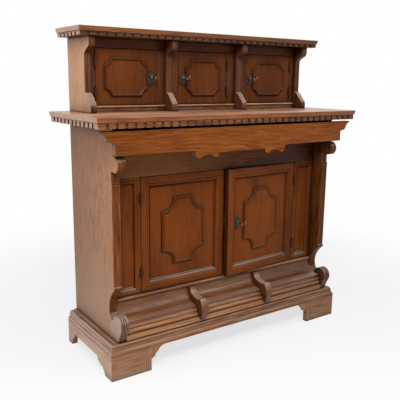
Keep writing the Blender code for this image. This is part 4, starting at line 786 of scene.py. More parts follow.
@dataclass(frozen=True)
class Border:
    """Moulded border of a framed front: its directions, and its limits along them."""

    along: Vector
    out: Vector
    width: tuple[float, float]
    height: tuple[float, float]
    face: float
    gap: float = 0.0014
    sink: float = 0.0030
    bead_sink: float = 0.0022

    @classmethod
    def of(cls, piece: Piece, along: Vector, out: Vector) -> "Border":
        """Border of a piece that lies square to two directions.

        Args:
            piece: Framed piece.
            along: Direction along its width.
            out: Direction out of its face.

        Returns:
            The border.
        """
        points = [vert.co.copy() for vert in piece.data.vertices]
        across = [point.dot(along) for point in points]
        levels = [point.z for point in points]
        limits = (min(across), max(across)), (min(levels), max(levels))
        return cls(along, out, *limits, max(point.dot(out) for point in points))

    def inset(self, point: Vector) -> float:
        """Distance of a point from the nearest outer edge."""
        across = point.dot(self.along)
        ends = (across - self.width[0], self.width[1] - across)
        return min(*ends, point.z - self.height[0], self.height[1] - point.z)

    def quirk(self, piece: Piece, line: float, bead: float) -> None:
        """Work a groove round the border, and deepen the one inside its moulding.

        Args:
            piece: Framed piece.
            line: Inset of the groove from the outer edges.
            bead: Depth of the moulding's own groove under the face.
        """
        def on_line(point: Vector) -> bool:
            """Whether a point lies on the groove's line."""
            return self.face - point.dot(self.out) < 0.0004 and abs(self.inset(point) - line) < 0.0003

        for way, (start, end) in ((self.along, self.width), (UP, self.height)):
            grooved(piece, way, [start + line, end - line], self.gap, self.sink, on_line, -self.out)
        for vert in piece.data.vertices:
            if abs(self.face - vert.co.dot(self.out) - bead) < 0.0002:
                vert.co -= self.out * self.bead_sink


def turned(name: str, profile: Sequence[tuple[float, float]], sides: int = 20) -> Piece:
    """Turned piece about the vertical axis through the origin.

    Args:
        name: Name of the new piece.
        profile: Radius and height of each ring, from the foot up.
        sides: Facets round the axis.

    Returns:
        The new piece, closed at both ends.
    """
    radius, height = profile[0]
    bpy.ops.object.select_all(action="DESELECT")
    bpy.ops.mesh.primitive_circle_add(vertices=sides, radius=radius, fill_type="NGON",
                                      location=(0.0, 0.0, height))
    piece = settled(name)
    with editing(piece):
        for wide, high in profile[1:]:
            bpy.ops.mesh.extrude_region_move(TRANSFORM_OT_translate={"value": (0.0, 0.0, high - height)})
            share = wide / radius
            bpy.ops.transform.resize(value=(share, share, 1.0), center_override=(0.0, 0.0, high))
            radius, height = wide, high
        bpy.ops.mesh.select_all(action="SELECT")
        bpy.ops.mesh.normals_make_consistent(inside=False)
    return piece


def set_down(piece: Piece, place: Matrix) -> None:
    """Move a piece's mesh to its place, and leave its object at the origin.

    Args:
        piece: Piece to move.
        place: Place of the piece's own origin.
    """
    pick(piece)
    piece.matrix_world = place
    bpy.ops.object.transform_apply(location=True, rotation=True, scale=True)


def copied(piece: Piece, name: str) -> Piece:
    """Copy of a piece with a mesh of its own.

    Args:
        piece: Piece to copy.
        name: Name of the copy.

    Returns:
        The copy.
    """
    copy = bpy.data.objects.new(name, piece.data.copy())
    bpy.context.scene.collection.objects.link(copy)
    return copy


@dataclass
class Assembly:
    """Sub-assembly that rides on one body and counts its pieces."""

    body: str = "carcass"
    ease: float = 0.0016
    seed: int = 1
    pieces: list[Piece] = field(default_factory=list)

    def keep(self, piece: Piece, slot: str, *nodes: str) -> Piece:
        """Fasten a finished piece to this assembly's body.

        Args:
            piece: Finished piece.
            slot: Material slot of the record; not used.
            *nodes: Solids that the piece stands for.

        Returns:
            The same piece.
        """
        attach(piece, self.body)
        if nodes:
            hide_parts(*nodes)
        self.pieces.append(piece)
        log.info("%s on %s", piece.name, self.body)
        return piece

    def board(self, node: str, name: str, finish: WoodFinish, grain: Grain, cuts: Sequence[Cut] = (),
              ease: Optional[float] = None, shaded_faces: Optional[FaceTest] = None,
              work: Optional[Work] = None, dim: float = 0.42) -> Piece:
        """Board that stands for a solid, or for the part of it that the cuts leave.

        Args:
            node: Name of the solid.
            name: Name of the board.
            finish: Finish of the wood.
            grain: Way that the grain runs.
            cuts: Saw cuts.
            ease: Width of its eased edges, if it isn't the usual one.
            shaded_faces: Test of the faces that get painted shade, if any.
            work: Mouldings to work before the cuts, if any.
            dim: Share of the colour that the faces with painted shade keep.

        Returns:
            The finished board.
        """
        piece = sawn(node, name, cuts, work)
        for face in piece.data.polygons:
            face.material_index = int(shaded_faces is not None and shaded_faces(face))
        soften(piece, self.ease if ease is None else ease)
        return self.dress(piece, finish, grain, node, dim=dim)

    def dress(self, piece: Piece, finish: WoodFinish, grain: Grain, node: str, glow: Optional[Glow] = None,
              dim: float = 0.42) -> Piece:
        """Give a wooden piece its finish, and fasten it.

        Args:
            piece: Piece to dress.
            finish: Finish of the wood.
            grain: Way that the grain runs.
            node: Solid that the piece stands for.
            glow: Patch painted lighter, if any.
            dim: Share of the colour that the marked faces keep.

        Returns:
            The same piece.
        """
        self.seed += 1
        piece.data.materials.append(finish.material(grain, self.seed, glow))
        # Marked faces get a darker copy of the finish: painted shade, with grime on a raised field's edge.
        if any(face.material_index for face in piece.data.polygons):
            piece.data.materials.append(finish.darker(dim).material(grain, self.seed))
        return self.keep(piece, finish.slot, node)

    def bar(self, name: str, low: Vector, high: Vector, finish: WoodFinish, grain: Grain,
            ease: float) -> Piece:
        """Small eased bar between two corners.

        Args:
            name: Name of the bar.
            low: Lowest corner.
            high: Highest corner.
            finish: Finish of the wood.
            grain: Way that the grain runs.
            ease: Width of its eased edges.

        Returns:
            The finished bar.
        """
        bpy.ops.object.select_all(action="DESELECT")
        bpy.ops.mesh.primitive_cube_add(size=1.0, location=(low + high) / 2)
        piece = bpy.context.active_object
        piece.name = name
        piece.scale = high - low
        bpy.ops.object.transform_apply(location=True, rotation=True, scale=True)
        soften(piece, ease, segments=3)
        self.seed += 1
        piece.data.materials.append(finish.material(grain, self.seed))
        return self.keep(piece, finish.slot)

    def planks(self, node: str, name: str, finish: WoodFinish, grain: Grain, axis: int, count: int,
               front_ease: float = 0.0007, ease: float = 0.0007) -> None:
        """Row of planks that stand for one wide board.

        Args:
            node: Name of the wide board's solid.
            name: Start of the planks' names.
            finish: Finish of the wood.
            grain: Way that the grain runs.
            axis: Axis across the planks.
            count: Number of planks.
            front_ease: Width of the first plank's eased edges.
            ease: Width of the other planks' eased edges.
        """
        low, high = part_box(node)
        across = Vector([1.0 if index == axis else 0.0 for index in range(3)])
        for index in range(count):
            start = low.lerp(high, index / count)
            end = low.lerp(high, (index + 1) / count)
            cuts = [Cut(start, -across)] if index else []
            if index < count - 1:
                cuts.append(Cut(end, across))
            self.board(node, f"{name}_{index + 1}", finish, grain, cuts, ease=ease if index else front_ease)

    def strips(self, node: str, name: str, finish: WoodFinish, thickness: float,
               gap_depth: float = 0.0045) -> None:
        """Front strip of a dentil course, the two end strips that butt against it, and a lath behind each.

        Args:
            node: Name of the course's solid.
            name: Start of the strips' names.
            finish: Finish of the wood.
            thickness: Thickness of the strips.
            gap_depth: Depth of the gaps between the dentils, down to the lath.
        """
        low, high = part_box(node)
        # The laths are darker: painted shade in the gaps between the dentils.
        shaded_lath = replace(finish.darker(0.3), fade=0.0)
        behind = Vector((0.0, low.y + thickness + GLUE, 0.0))
        face = Cut(behind - BACK * (2 * GLUE), BACK)
        self.board(node, name + "_front", finish, Grain.ACROSS, [face], ease=0.0009)
        for side, word in SIDES:
            cuts = [Cut(behind, -BACK), Cut(Vector(), Vector((-side, 0.0, 0.0)))]
            self.board(node, f"{name}_{word}", finish, Grain.INWARD, cuts, ease=0.0009)
            reach = sorted((side * (high.x - gap_depth), side * (high.x - thickness + 0.0004)))
            near = Vector((reach[0], behind.y, low.z + 0.0015))
            far = Vector((reach[1], high.y - 0.003, high.z - 0.0006))
            self.bar(f"{name}_{word}_lath", near, far, shaded_lath, Grain.INWARD, 0.0006)
        near = Vector((low.x + 0.006, low.y + gap_depth, low.z + 0.0015))
        far = Vector((high.x - 0.006, behind.y - 0.0004, high.z - 0.0006))
        self.bar(f"{name}_front_lath", near, far, finish.darker(0.6), Grain.ACROSS, 0.0006)


@dataclass
class Plinth(Assembly):
    """Bracket plinth: mitred feet and side boards, and the moulded frame on them."""

    seed: int = 10
    frame_width: float = 0.060
    ear: float = 0.458
    quirk_heights: tuple[float, ...] = (0.0063, 0.0220, 0.0345, 0.0455)
    ledge_lines: tuple[float, ...] = (0.0205, 0.0350)

    def build(self) -> None:
        """Saw the feet and the mouldings at their mitres."""
        low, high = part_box("plinth_moulding")
        for side, word in SIDES:
            node = f"plinth_{word}_base"
            # The right front foot is darker: painted shade, where less light falls.
            wax = FOOT_WAX if word == "left" else replace(FOOT_WAX.darker(0.84), scuff=0.3)
            corner = Vector((side * high.x, low.y, 0.0))
            inward = Vector((side * 1.0, 1.0, 0.0)).normalized()
            ear = Cut(Vector((side * self.ear, 0.0, 0.0)), Vector((-side, 0.0, 0.0)))
            self.board(node, f"{word}_front_foot", wax, Grain.ACROSS, [Cut(corner, inward), ear])
            ear = Cut(ear.point, -ear.normal)
            self.board(node, f"{word}_front_foot_ear", wax, Grain.UPRIGHT, [Cut(corner, inward), ear])
            self.board(node, f"{word}_side_skirt", FOOT_WAX, Grain.INWARD, [Cut(corner, -inward)])
            inner = Vector((side * (high.x - self.frame_width - 0.0002), 0.0, 0.0))
            cuts = [Cut(corner, -inward), Cut(inner, Vector((-side, 0.0, 0.0)))]
            self.board("plinth_moulding", f"{word}_plinth_moulding", PLINTH_WAX, Grain.INWARD, cuts,
                       work=self.quirks)
        self.front_and_back(low, high)

    def quirks(self, piece: Piece) -> None:
        """Work the quirk grooves between the members of the moulded frame.

        Args:
            piece: The whole frame.
        """
        low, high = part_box("plinth_moulding")

        def outside(point: Vector) -> bool:
            """Whether a point lies on the moulded side of the frame."""
            return point.y < low.y + self.frame_width / 2 or abs(point.x) > high.x - self.frame_width / 2

        heights = [low.z + rise for rise in self.quirk_heights]
        grooved(piece, UP, heights, 0.0012, 0.0026, outside)

        def on_ledge(point: Vector) -> bool:
            """Whether a point lies on top of an end of the frame, behind its mitre."""
            inset = high.x - abs(point.x)
            return point.z > low.z + 0.042 and inset - 0.0003 < min(point.y - low.y, 0.045)

        places = [side * (high.x - line) for side in (-1, 1) for line in self.ledge_lines]
        grooved(piece, RIGHT, places, 0.0013, 0.0024, on_ledge, -UP)

    def front_and_back(self, low: Vector, high: Vector) -> None:
        """Front moulding between its two mitres, and the plain rail at the back.

        Args:
            low: Lowest corner of the moulded frame.
            high: Highest corner of the moulded frame.
        """
        mitres = [Cut(Vector((side * high.x, low.y, 0.0)), Vector((side, 1.0, 0.0)).normalized())
                  for side in (-1, 1)]
        mitres.append(Cut(Vector(), BACK))
        self.board("plinth_moulding", "front_plinth_moulding", PLINTH_WAX, Grain.ACROSS, mitres,
                   work=self.quirks)
        reach = high.x - self.frame_width - 0.0002
        cuts = [Cut(Vector((side * reach, 0.0, 0.0)), Vector((side, 0.0, 0.0))) for side in (-1, 1)]
        cuts.append(Cut(Vector(), -BACK))
        self.board("plinth_moulding", "back_plinth_rail", BARE_WOOD, Grain.ACROSS, cuts)


@dataclass
class LowerCase(Assembly):
    """Lower case: scrolled sides, volutes, cove, reeds, brackets, frieze, fixed panels, back and shelf."""

    seed: int = 40
    reeds: int = 4
    reed_depth: float = 0.0050
    panel_quirk: float = 0.0126
    bead_drop: float = 0.0085
    straight_edge: float = -0.1525
    lip_height: float = 0.2015
    knee_heights: tuple[float, float] = (0.1533, 0.2470)
    knee_front: float = -0.190
    knee_swell: float = 0.012
    back_planks: int = 7

    def build(self) -> None:
        """Build the boards of the case."""
        shadowed = replace(SIDE_WAX.darker(0.56), wear=0.2)
        # Right side in painted shade; the last two numbers dim each side's volute and inner faces as painted
        # shade.
        sides = ((-1, "left", SIDE_WAX, 1.0, 0.62), (1, "right", shadowed, 0.66, 1.05))
        for side, word, wax, tone, dim in sides:
            looks_in = self.inner_faces(side)
            self.board(f"{word}_side_panel", f"{word}_side_board", wax, Grain.UPRIGHT,
                       shaded_faces=looks_in, dim=dim)
            self.volute(word, VOLUTE_WAX.darker(tone), looks_in)
            self.fillets(word)
            # Painted shade on the brackets' flanks.
            self.board(f"{word}_base_bracket", f"{word}_scroll_bracket", BRACKET_POLISH, Grain.UPRIGHT,
                       ease=0.0036, shaded_faces=lambda face: abs(face.normal.x) > 0.9, work=self.swell,
                       dim=0.72)
            self.board(f"{word}_stile_panel", f"{word}_fixed_panel", DOOR_POLISH, Grain.UPRIGHT, ease=0.0008,
                       work=self.quirk)
        self.board("cupboard_floor", "cupboard_bottom", LEDGE_POLISH, Grain.ACROSS)
        lip = Vector((0.0, 0.0, self.lip_height))
        self.board("base_moulding", "cove_rail", COVE_POLISH, Grain.ACROSS, [Cut(lip, -UP)], ease=0.0010)
        self.board("base_moulding", "reed_rail", REED_POLISH, Grain.ACROSS, [Cut(lip, UP)], ease=0.0010)
        self.frieze()
        self.board("cupboard_shelf", "shelf_board", BARE_WOOD, Grain.ACROSS)
        self.board("drawer_dust_board", "dust_panel", BARE_WOOD, Grain.ACROSS)
        self.planks("lower_back", "back_plank", BARE_WOOD, Grain.UPRIGHT, 0, self.back_planks, 0.0016, 0.0016)

    @staticmethod
    def inner_faces(side: int) -> FaceTest:
        """Test of the faces that look towards the middle of the case.

        Args:
            side: Side of the case that the faces are on, -1 or 1.

        Returns:
            The test.
        """
        return lambda face: face.normal.x * side < -0.9

    def frieze(self) -> None:
        """Frieze board, with painted light towards its left end."""
        low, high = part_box("frieze_rail")
        piece = sawn("frieze_rail", "frieze_board")
        soften(piece, self.ease)
        # Painted light: the frieze is lighter towards its left end, and darker in the drawer's shade.
        glow = Glow(Vector((low.x * 0.6, low.y, (low.z + high.z) / 2)), 0.52, 0.64)
        self.dress(piece, FRIEZE_POLISH, Grain.ACROSS, "frieze_rail", glow)

    def quirk(self, piece: Piece) -> None:
        """Work the quirk grooves of a fixed panel.

        Args:
            piece: The panel.
        """
        border = Border.of(piece, RIGHT, -BACK)
        border.quirk(piece, self.panel_quirk, self.bead_drop)

    def swell(self, piece: Piece) -> None:
        """Fill out the knee of a bracket.

        Args:
            piece: The bracket.
        """
        toe, top = self.knee_heights
        for vert in piece.data.vertices:
            if vert.co.y < self.knee_front and toe < vert.co.z < top:
                vert.co.y -= self.knee_swell * math.sin(math.pi * (vert.co.z - toe) / (top - toe))

    def volute(self, word: str, finish: WoodFinish, shaded_faces: FaceTest) -> None:
        """Volute block with upright reeds worked round its front.

        Args:
            word: Side of the case, left or right.
            finish: Finish of the wood.
            shaded_faces: Test of the faces that get painted shade.
        """
        node = f"{word}_foot_volute"
        low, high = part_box(node)
        piece = sawn(node, f"{word}_reeded_volute")
        pitch = (high.x - low.x) / self.reeds
        grooves = [low.x + pitch * index for index in range(1, self.reeds)]
        grooved(piece, RIGHT, grooves, pitch / 4, self.reed_depth,
                lambda point: point.y <= high.y - 0.012)
        for face in piece.data.polygons:
            face.material_index = int(shaded_faces(face))
        soften(piece, 0.0008, angle=30.0)
        self.dress(piece, finish, Grain.UPRIGHT, node, dim=0.55)

    def fillets(self, word: str) -> None:
        """Small fillets across the ends of a side's straight front edge.

        Args:
            word: Side of the case, left or right.
        """
        low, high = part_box(f"{word}_side_panel")
        heights = [vert.co.z for vert in frame["nodes"][f"{word}_side_panel"].data.vertices
                   if abs(vert.co.y - self.straight_edge) < 0.0004]
        for end, height in (("foot", min(heights) + 0.010), ("head", max(heights) - 0.010)):
            near = Vector((low.x + GLUE, self.straight_edge - 0.003, height - 0.0027))
            far = Vector((high.x - GLUE, self.straight_edge + 0.002, height + 0.0027))
            self.bar(f"{word}_{end}_fillet", near, far, CASE_POLISH, Grain.ACROSS, 0.0018)


@dataclass
class FriezeDrawer(Assembly):
    """Frieze drawer: shaped front, two sides, back and bottom."""

    body: str = "frieze_drawer"
    seed: int = 80
    wall: float = 0.014

    def build(self) -> None:
        """Build the drawer's boards, with its sides sawn free of its back."""
        self.board("drawer_front", "drawer_face", DRAWER_POLISH, Grain.ACROSS, ease=0.0022)
        self.board("drawer_bottom", "drawer_floor", BARE_WOOD, Grain.ACROSS)
        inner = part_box("drawer_box")[1].x - self.wall
        ends = RIGHT * (inner + GLUE)
        self.board("drawer_box", "drawer_left_wall", BARE_WOOD, Grain.INWARD, [Cut(-ends, RIGHT)])
        self.board("drawer_box", "drawer_right_wall", BARE_WOOD, Grain.INWARD, [Cut(ends, -RIGHT)])
        ends = RIGHT * (inner - GLUE)
        cuts = [Cut(ends, RIGHT), Cut(-ends, -RIGHT)]
        self.board("drawer_box", "drawer_back_wall", BARE_WOOD, Grain.ACROSS, cuts)


@dataclass
class Counter(Assembly):
    """Counter: planks of the top, and the dentil course under it."""

    seed: int = 100
    plank_count: int = 4
    dentil_thickness: float = 0.014

    def build(self) -> None:
        """Build the planks and the dentil strips."""
        self.planks("counter_top", "counter_plank", COUNTER_POLISH, Grain.ACROSS, 1, self.plank_count, 0.0024)
        self.strips("counter_dentils", "counter_dentils", DENTIL_WAX, self.dentil_thickness)


@dataclass
class Hutch(Assembly):
    """Hutch: scrolled sides and dividers, face frame, floor, back, top and its dentil course."""

    seed: int = 130
    back_planks: int = 6
    straight_edge: float = 0.0665
    nose_height: float = 0.085
    flute_depth: float = 0.0022
    neck_top: float = 0.0430
    neck_length: float = 0.0376
    neck_share: float = 0.68
    dentil_thickness: float = 0.014

    def build(self) -> None:
        """Build the boards of the hutch."""
        for word in ("left", "right"):
            self.fluted(f"hutch_{word}_side", f"hutch_{word}_board", HUTCH_WAX)
            self.fluted(f"hutch_{word}_partition", f"hutch_{word}_divider", DIVIDER_WAX)
        self.board("hutch_floor", "hutch_base_board", NOSING_POLISH, Grain.ACROSS, ease=0.0010)
        self.face_frame()
        self.planks("hutch_back", "hutch_back_plank", BARE_WOOD, Grain.UPRIGHT, 0, self.back_planks,
                    0.0016, 0.0016)
        # Painted shade: the top darkens towards its right end, and its dentils are darker under it.
        top = replace(COUNTER_POLISH.darker(0.72), painted_shade_right=0.5)
        self.planks("hutch_top", "hutch_top_plank", top, Grain.ACROSS, 1, 2, 0.0020)
        wax = replace(DENTIL_WAX.darker(0.5), painted_shade_right=0.5)
        self.strips("hutch_dentils", "hutch_dentils", wax, self.dentil_thickness)

    def fluted(self, node: str, name: str, finish: WoodFinish) -> None:
        """Upright board with two flutes worked down the nose at the foot of its front edge.

        Args:
            node: Name of the solid.
            name: Name of the board.
            finish: Finish of the wood.
        """
        low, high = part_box(node)
        piece = sawn(node, name)
        width = high.x - low.x
        grooves = [low.x + width / 3, low.x + 2 * width / 3]
        front, top = self.straight_edge - 0.004, low.z + self.nose_height
        grooved(piece, RIGHT, grooves, width / 9, self.flute_depth,
                lambda point: point.y <= front and low.z + 0.004 <= point.z <= top)
        self.tighten(piece)
        soften(piece, 0.0014, angle=30.0)
        self.dress(piece, finish, Grain.UPRIGHT, node)

    def tighten(self, piece: Piece) -> None:
        """Draw the neck of a front edge up under its roll.

        Args:
            piece: Upright board.
        """
        top = max(vert.co.z for vert in piece.data.vertices) - self.neck_top
        for vert in piece.data.vertices:
            if vert.co.y < self.straight_edge + 0.0004 and 0.0 < top - vert.co.z < self.neck_length:
                vert.co.z = top + (vert.co.z - top) * self.neck_share

    def face_frame(self) -> None:
        """Frieze rail of the hutch, and a stile down each side of every bay."""
        node = "hutch_face_frame"
        rail = Vector((0.0, 0.0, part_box("hutch_left_door")[1].z + 0.0021))
        self.board(node, "hutch_frieze", SHADED_RECESS_POLISH, Grain.ACROSS, [Cut(rail + UP * 0.0009, -UP)],
                   ease=0.0009)
        low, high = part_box(node)
        divides = [low.x]
        for door in ("left", "middle", "right"):
            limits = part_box(f"hutch_{door}_door")
            divides.append((limits[0].x + limits[1].x) / 2)
            if door != "right":
                partition = "hutch_left_partition" if door == "left" else "hutch_right_partition"
                divides.append(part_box(partition)[1].x - 0.01)
        divides.append(high.x)
        for index, (start, end) in enumerate(zip(divides, divides[1:])):
            cuts = [Cut(rail, UP), Cut(RIGHT * (start - 0.001), -RIGHT), Cut(RIGHT * (end + 0.001), RIGHT)]
            # The stiles are darker still: painted shade in the recess.
            polish = SHADED_RECESS_POLISH.darker(0.8)
            self.board(node, f"hutch_stile_{index + 1}", polish, Grain.UPRIGHT, cuts, ease=0.0009)


@dataclass
class DoorLeaf(Assembly):
    """A door, with the directions along its width, out of its face and up."""

    hinge: Vector = field(default_factory=Vector)
    side: int = 1
    ajar: float = 0.0
    # Share of the colour that the door keeps: painted shade, deeper on the doors towards the right.
    tone: float = 1.0
    cove_width: float = 0.005
    cove_drop: float = 0.003
    edge_rise: float = 0.0058
    flame: float = 0.0
    quirk_inset: float = 0.0285
    bead_drop: float = 0.0085
    polish: WoodFinish = FIELD_POLISH
    along: Vector = field(init=False)
    out: Vector = field(init=False)
    up: Vector = field(init=False)

    def __post_init__(self) -> None:
        """Work out the door's directions from its side and how far it stands ajar."""
        turn = Matrix.Rotation(-self.side * self.ajar, 3, "Z")
        self.along = turn @ Vector((self.side, 0.0, 0.0))
        self.out = turn @ -BACK
        self.up = UP

    def limits(self, node: str, way: Vector) -> tuple[float, float]:
        """Least and greatest reach of a solid from the hinge axis.

        Args:
            node: Name of the solid.
            way: Direction to measure in.

        Returns:
            The two reaches in metres.
        """
        reaches = [(vert.co - self.hinge).dot(way) for vert in frame["nodes"][node].data.vertices]
        return min(reaches), max(reaches)

    def at(self, along: float, up: float, out: float) -> Vector:
        """Point on the door, from its reaches along the width, up and out of the face."""
        return self.hinge + self.along * along + self.up * up + self.out * out

    def raised_board(self, node: str, name: str, glow_reach: float) -> None:
        """Board with a raised field, a sunk cove inside it, and a moulded edge with grime and painted shade.

        Args:
            node: Name of the solid.
            name: Name of the board.
            glow_reach: Reach of the lighter patch in the middle of the field.
        """
        piece = sawn(node, name)
        flats = [face for face in piece.data.polygons
                 if face.normal.dot(self.out) > 0.995 and face.area > 0.008]
        field_face = max(flats, key=lambda face: (face.center - self.hinge).dot(self.out)).index
        level = (piece.data.polygons[field_face].center - self.hinge).dot(self.out)
        with editing(piece):
            bpy.ops.mesh.select_all(action="DESELECT")
        piece.data.polygons[field_face].select = True
        with editing(piece, whole=False):
            bpy.ops.mesh.inset(thickness=self.cove_width, depth=-self.cove_drop)
        # The moulded edge gets the darker copy of the finish: grime with painted shade.
        for face in piece.data.polygons:
            height = (face.center - self.hinge).dot(self.out)
            face.material_index = int(height > level - self.edge_rise and not face.select)
        # Lighter, warmer middle of the field, with arched growth lines where the door has a flame.
        glow = Glow(self.middle(node), glow_reach, 0.28, self.flame)
        soften(piece, 0.0008, angle=20.0)
        self.dress(piece, self.polish.darker(self.tone), Grain.UPRIGHT, node, glow, 0.6)

    def middle(self, node: str) -> Vector:
        """Middle of a solid of the door."""
        reach = [sum(self.limits(node, way)) / 2 for way in (self.along, self.up, self.out)]
        return self.at(*reach)


@dataclass
class FramedDoor(DoorLeaf):
    """Lower door: a mitred frame round a raised panel."""

    def build(self) -> None:
        """Saw the frame at its mitres, and dress the panel."""
        node = f"{self.body}_frame"
        near, far = self.limits(node, self.along)
        base, top = self.limits(node, self.up)
        diagonal = Vector((1.0, 1.0)).normalized()
        corners = [(near, base, 1, 1), (far, base, -1, 1), (far, top, -1, -1), (near, top, 1, -1)]
        mitres = []
        for along, up, across, rise in corners:
            normal = self.along * (across * diagonal.x) - self.up * (rise * diagonal.y)
            mitres.append((self.at(along, up, 0.0), normal))
        members = {"hinge_stile": ((0, 1), (3, 1)), "lock_stile": ((1, 1), (2, 1)),
                   "bottom_rail": ((0, -1), (1, -1)), "top_rail": ((2, -1), (3, -1))}
        for word, ends in members.items():
            cuts = [Cut(mitres[index][0], mitres[index][1] * sign) for index, sign in ends]
            grain = Grain.UPRIGHT if "stile" in word else Grain.ACROSS
            # The free edge of the lock stile gets painted shade.
            self.board(node, f"{self.body}_{word}", DOOR_POLISH, grain, cuts, ease=0.0008,
                       shaded_faces=self.is_lock_edge, work=self.quirk)
        self.raised_board(f"{self.body}_panel", f"{self.body}_field", 0.16)

    def quirk(self, piece: Piece) -> None:
        """Work the quirk grooves of the frame."""
        Border.of(piece, self.along, self.out).quirk(piece, self.quirk_inset, self.bead_drop)

    def is_lock_edge(self, face: bpy.types.MeshPolygon) -> bool:
        """Whether a face looks along the door, away from its hinge."""
        return face.normal.dot(self.along) > 0.95


@dataclass
class HutchDoor(DoorLeaf):
    """Hutch door: one board with a raised field."""

    cove_width: float = 0.004
    flame: float = 0.4
    polish: WoodFinish = LEAF_POLISH

    def build(self) -> None:
        """Dress the board."""
        self.raised_board(self.body, f"{self.body}_leaf", 0.12)


@dataclass
class Ironwork(Assembly):
    """Hinge finials, lock plates and keys, with the finishes of the hinges, locks and bolts."""

    barrel: float = 0.038
    barrel_radius: float = 0.0045
    plate_width: float = 0.040
    plate_height: float = 0.060
    plate_drop: float = 0.005
    metals: dict[str, bpy.types.Material] = field(default_factory=dict)

    def build(self, leaves: Sequence[DoorLeaf]) -> None:
        """Model each iron piece once, and copy it to every door.

        Args:
            leaves: Doors of the credenza.
        """
        for finish in (DARK_IRON, BLACK_PLATE, WORN_STEEL, AGED_BRASS):
            self.metals[finish.name] = finish.material()
        finial = self.model_finial()
        plate = self.model_plate()
        key = self.model_key()
        for leaf in leaves:
            self.hinges(leaf, finial)
            if f"{leaf.body}_lock" in frame["nodes"]:
                self.lock(leaf, plate, key)
        for pattern in (finial, plate, key):
            bpy.data.objects.remove(pattern, do_unlink=True)

    def model_finial(self) -> Piece:
        """Turned tip of a hinge pin.

        Returns:
            The pattern piece, standing on the origin.
        """
        rings = [(0.86, 0.0), (0.86, 0.0004), (0.5, 0.0008), (0.5, 0.0012), (0.78, 0.0020), (0.82, 0.0028),
                 (0.68, 0.0036), (0.32, 0.0043), (0.05, 0.0046)]
        profile = [(self.barrel_radius * share, height) for share, height in rings]
        piece = turned("finial_pattern", profile, sides=14)
        soften(piece, 0.0)
        return piece

    def model_plate(self) -> Piece:
        """Cartouche plate round a keyhole: lobed, domed and rimmed, in the plane of a door's face.

        Returns:
            The pattern piece, with its back on the origin and its face towards -Y.
        """
        bpy.ops.object.select_all(action="DESELECT")
        bpy.ops.mesh.primitive_circle_add(vertices=72, radius=1.0, fill_type="NOTHING",
                                          rotation=(math.pi / 2, 0.0, 0.0))
        piece = settled("plate_pattern")
        steps = [(1.0, 0.0012), (0.96, 0.0020), (0.86, 0.0022), (0.80, 0.0014), (0.62, 0.0020),
                 (0.42, 0.0030), (0.34, 0.0034), (0.25, 0.0030), (0.24, 0.0)]
        reach, level = 1.0, 0.0
        with editing(piece):
            for share, rise in steps:
                bpy.ops.mesh.extrude_region_move()
                scale = share / reach
                bpy.ops.transform.resize(value=(scale, 1.0, scale), center_override=(0.0, 0.0, 0.0))
                bpy.ops.transform.translate(value=(0.0, level - rise, 0.0))
                reach, level = share, rise
        self.shape_plate(piece)
        with editing(piece):
            bpy.ops.mesh.select_all(action="DESELECT")
            bpy.ops.mesh.select_non_manifold(extend=False, use_boundary=True)
            bpy.ops.mesh.bridge_edge_loops()
            bpy.ops.mesh.select_all(action="SELECT")
            bpy.ops.mesh.normals_make_consistent(inside=False)
        soften(piece, 0.0, angle=50.0)
        return piece

    def shape_plate(self, piece: Piece) -> None:
        """Give a round plate its lobes, and its width and height.

        Args:
            piece: Round plate of radius 1, in the XZ plane.
        """
        hole = 0.0043
        for vert in piece.data.vertices:
            radius = math.hypot(vert.co.x, vert.co.z)
            angle = math.atan2(vert.co.z, vert.co.x)
            lobes = 1.0 - 0.20 * (0.5 + 0.5 * math.cos(6 * angle)) - 0.06 * math.cos(12 * angle)
            outer = Vector((self.plate_width / 2 * lobes * math.cos(angle), 0.0,
                            self.plate_height / 2 * lobes * math.sin(angle) - self.plate_drop))
            inner = Vector((hole * math.cos(angle), 0.0, hole * math.sin(angle)))
            point = inner.lerp(outer, (radius - 0.24) / 0.76)
            vert.co.x, vert.co.z = point.x, point.z

    def model_key(self) -> Piece:
        """Key: a collared shank along Y, with a ring bow that ends in a small knob.

        Returns:
            The pattern piece, with the lock plate's face at the origin and the bow towards -Y.
        """
        shank = 0.0028
        profile = [(shank, -0.016), (shank, 0.0042), (0.0046, 0.0050), (0.0050, 0.0062), (0.0046, 0.0074),
                   (shank, 0.0082), (shank, 0.0096), (0.0042, 0.0104), (0.0042, 0.0114), (shank, 0.0122),
                   (0.0025, 0.0360), (0.0036, 0.0368), (0.0036, 0.0376), (0.0022, 0.0384)]
        bow_height = 0.0472
        piece = turned("key_pattern", profile, sides=18)
        bpy.ops.object.select_all(action="DESELECT")
        bpy.ops.mesh.primitive_torus_add(major_radius=0.0105, minor_radius=0.0023,
                                         major_segments=40, minor_segments=12,
                                         location=(0.0, 0.0, bow_height), rotation=(0.0, math.pi / 2, 0.0))
        bow = settled("bow_pattern")
        with editing(bow):
            bpy.ops.transform.resize(value=(0.9, 1.12, 0.94), center_override=(0.0, 0.0, bow_height))
        pick(piece)
        bow.select_set(True)
        bpy.ops.object.join()
        set_down(piece, Matrix.Rotation(math.pi / 2, 4, "X"))
        soften(piece, 0.0)
        return piece

    def fit(self, pattern: Piece, name: str, place: Matrix, body: str, metal: bpy.types.Material) -> Piece:
        """Copy a pattern to its place on a body.

        Args:
            pattern: Pattern piece.
            name: Name of the copy.
            place: Place of the pattern's origin.
            body: Body that the copy rides on.
            metal: Material of the copy.

        Returns:
            The copy.
        """
        piece = copied(pattern, name)
        set_down(piece, place)
        piece.data.materials.clear()
        piece.data.materials.append(metal)
        self.body = body
        return self.keep(piece, DARK_IRON.slot)

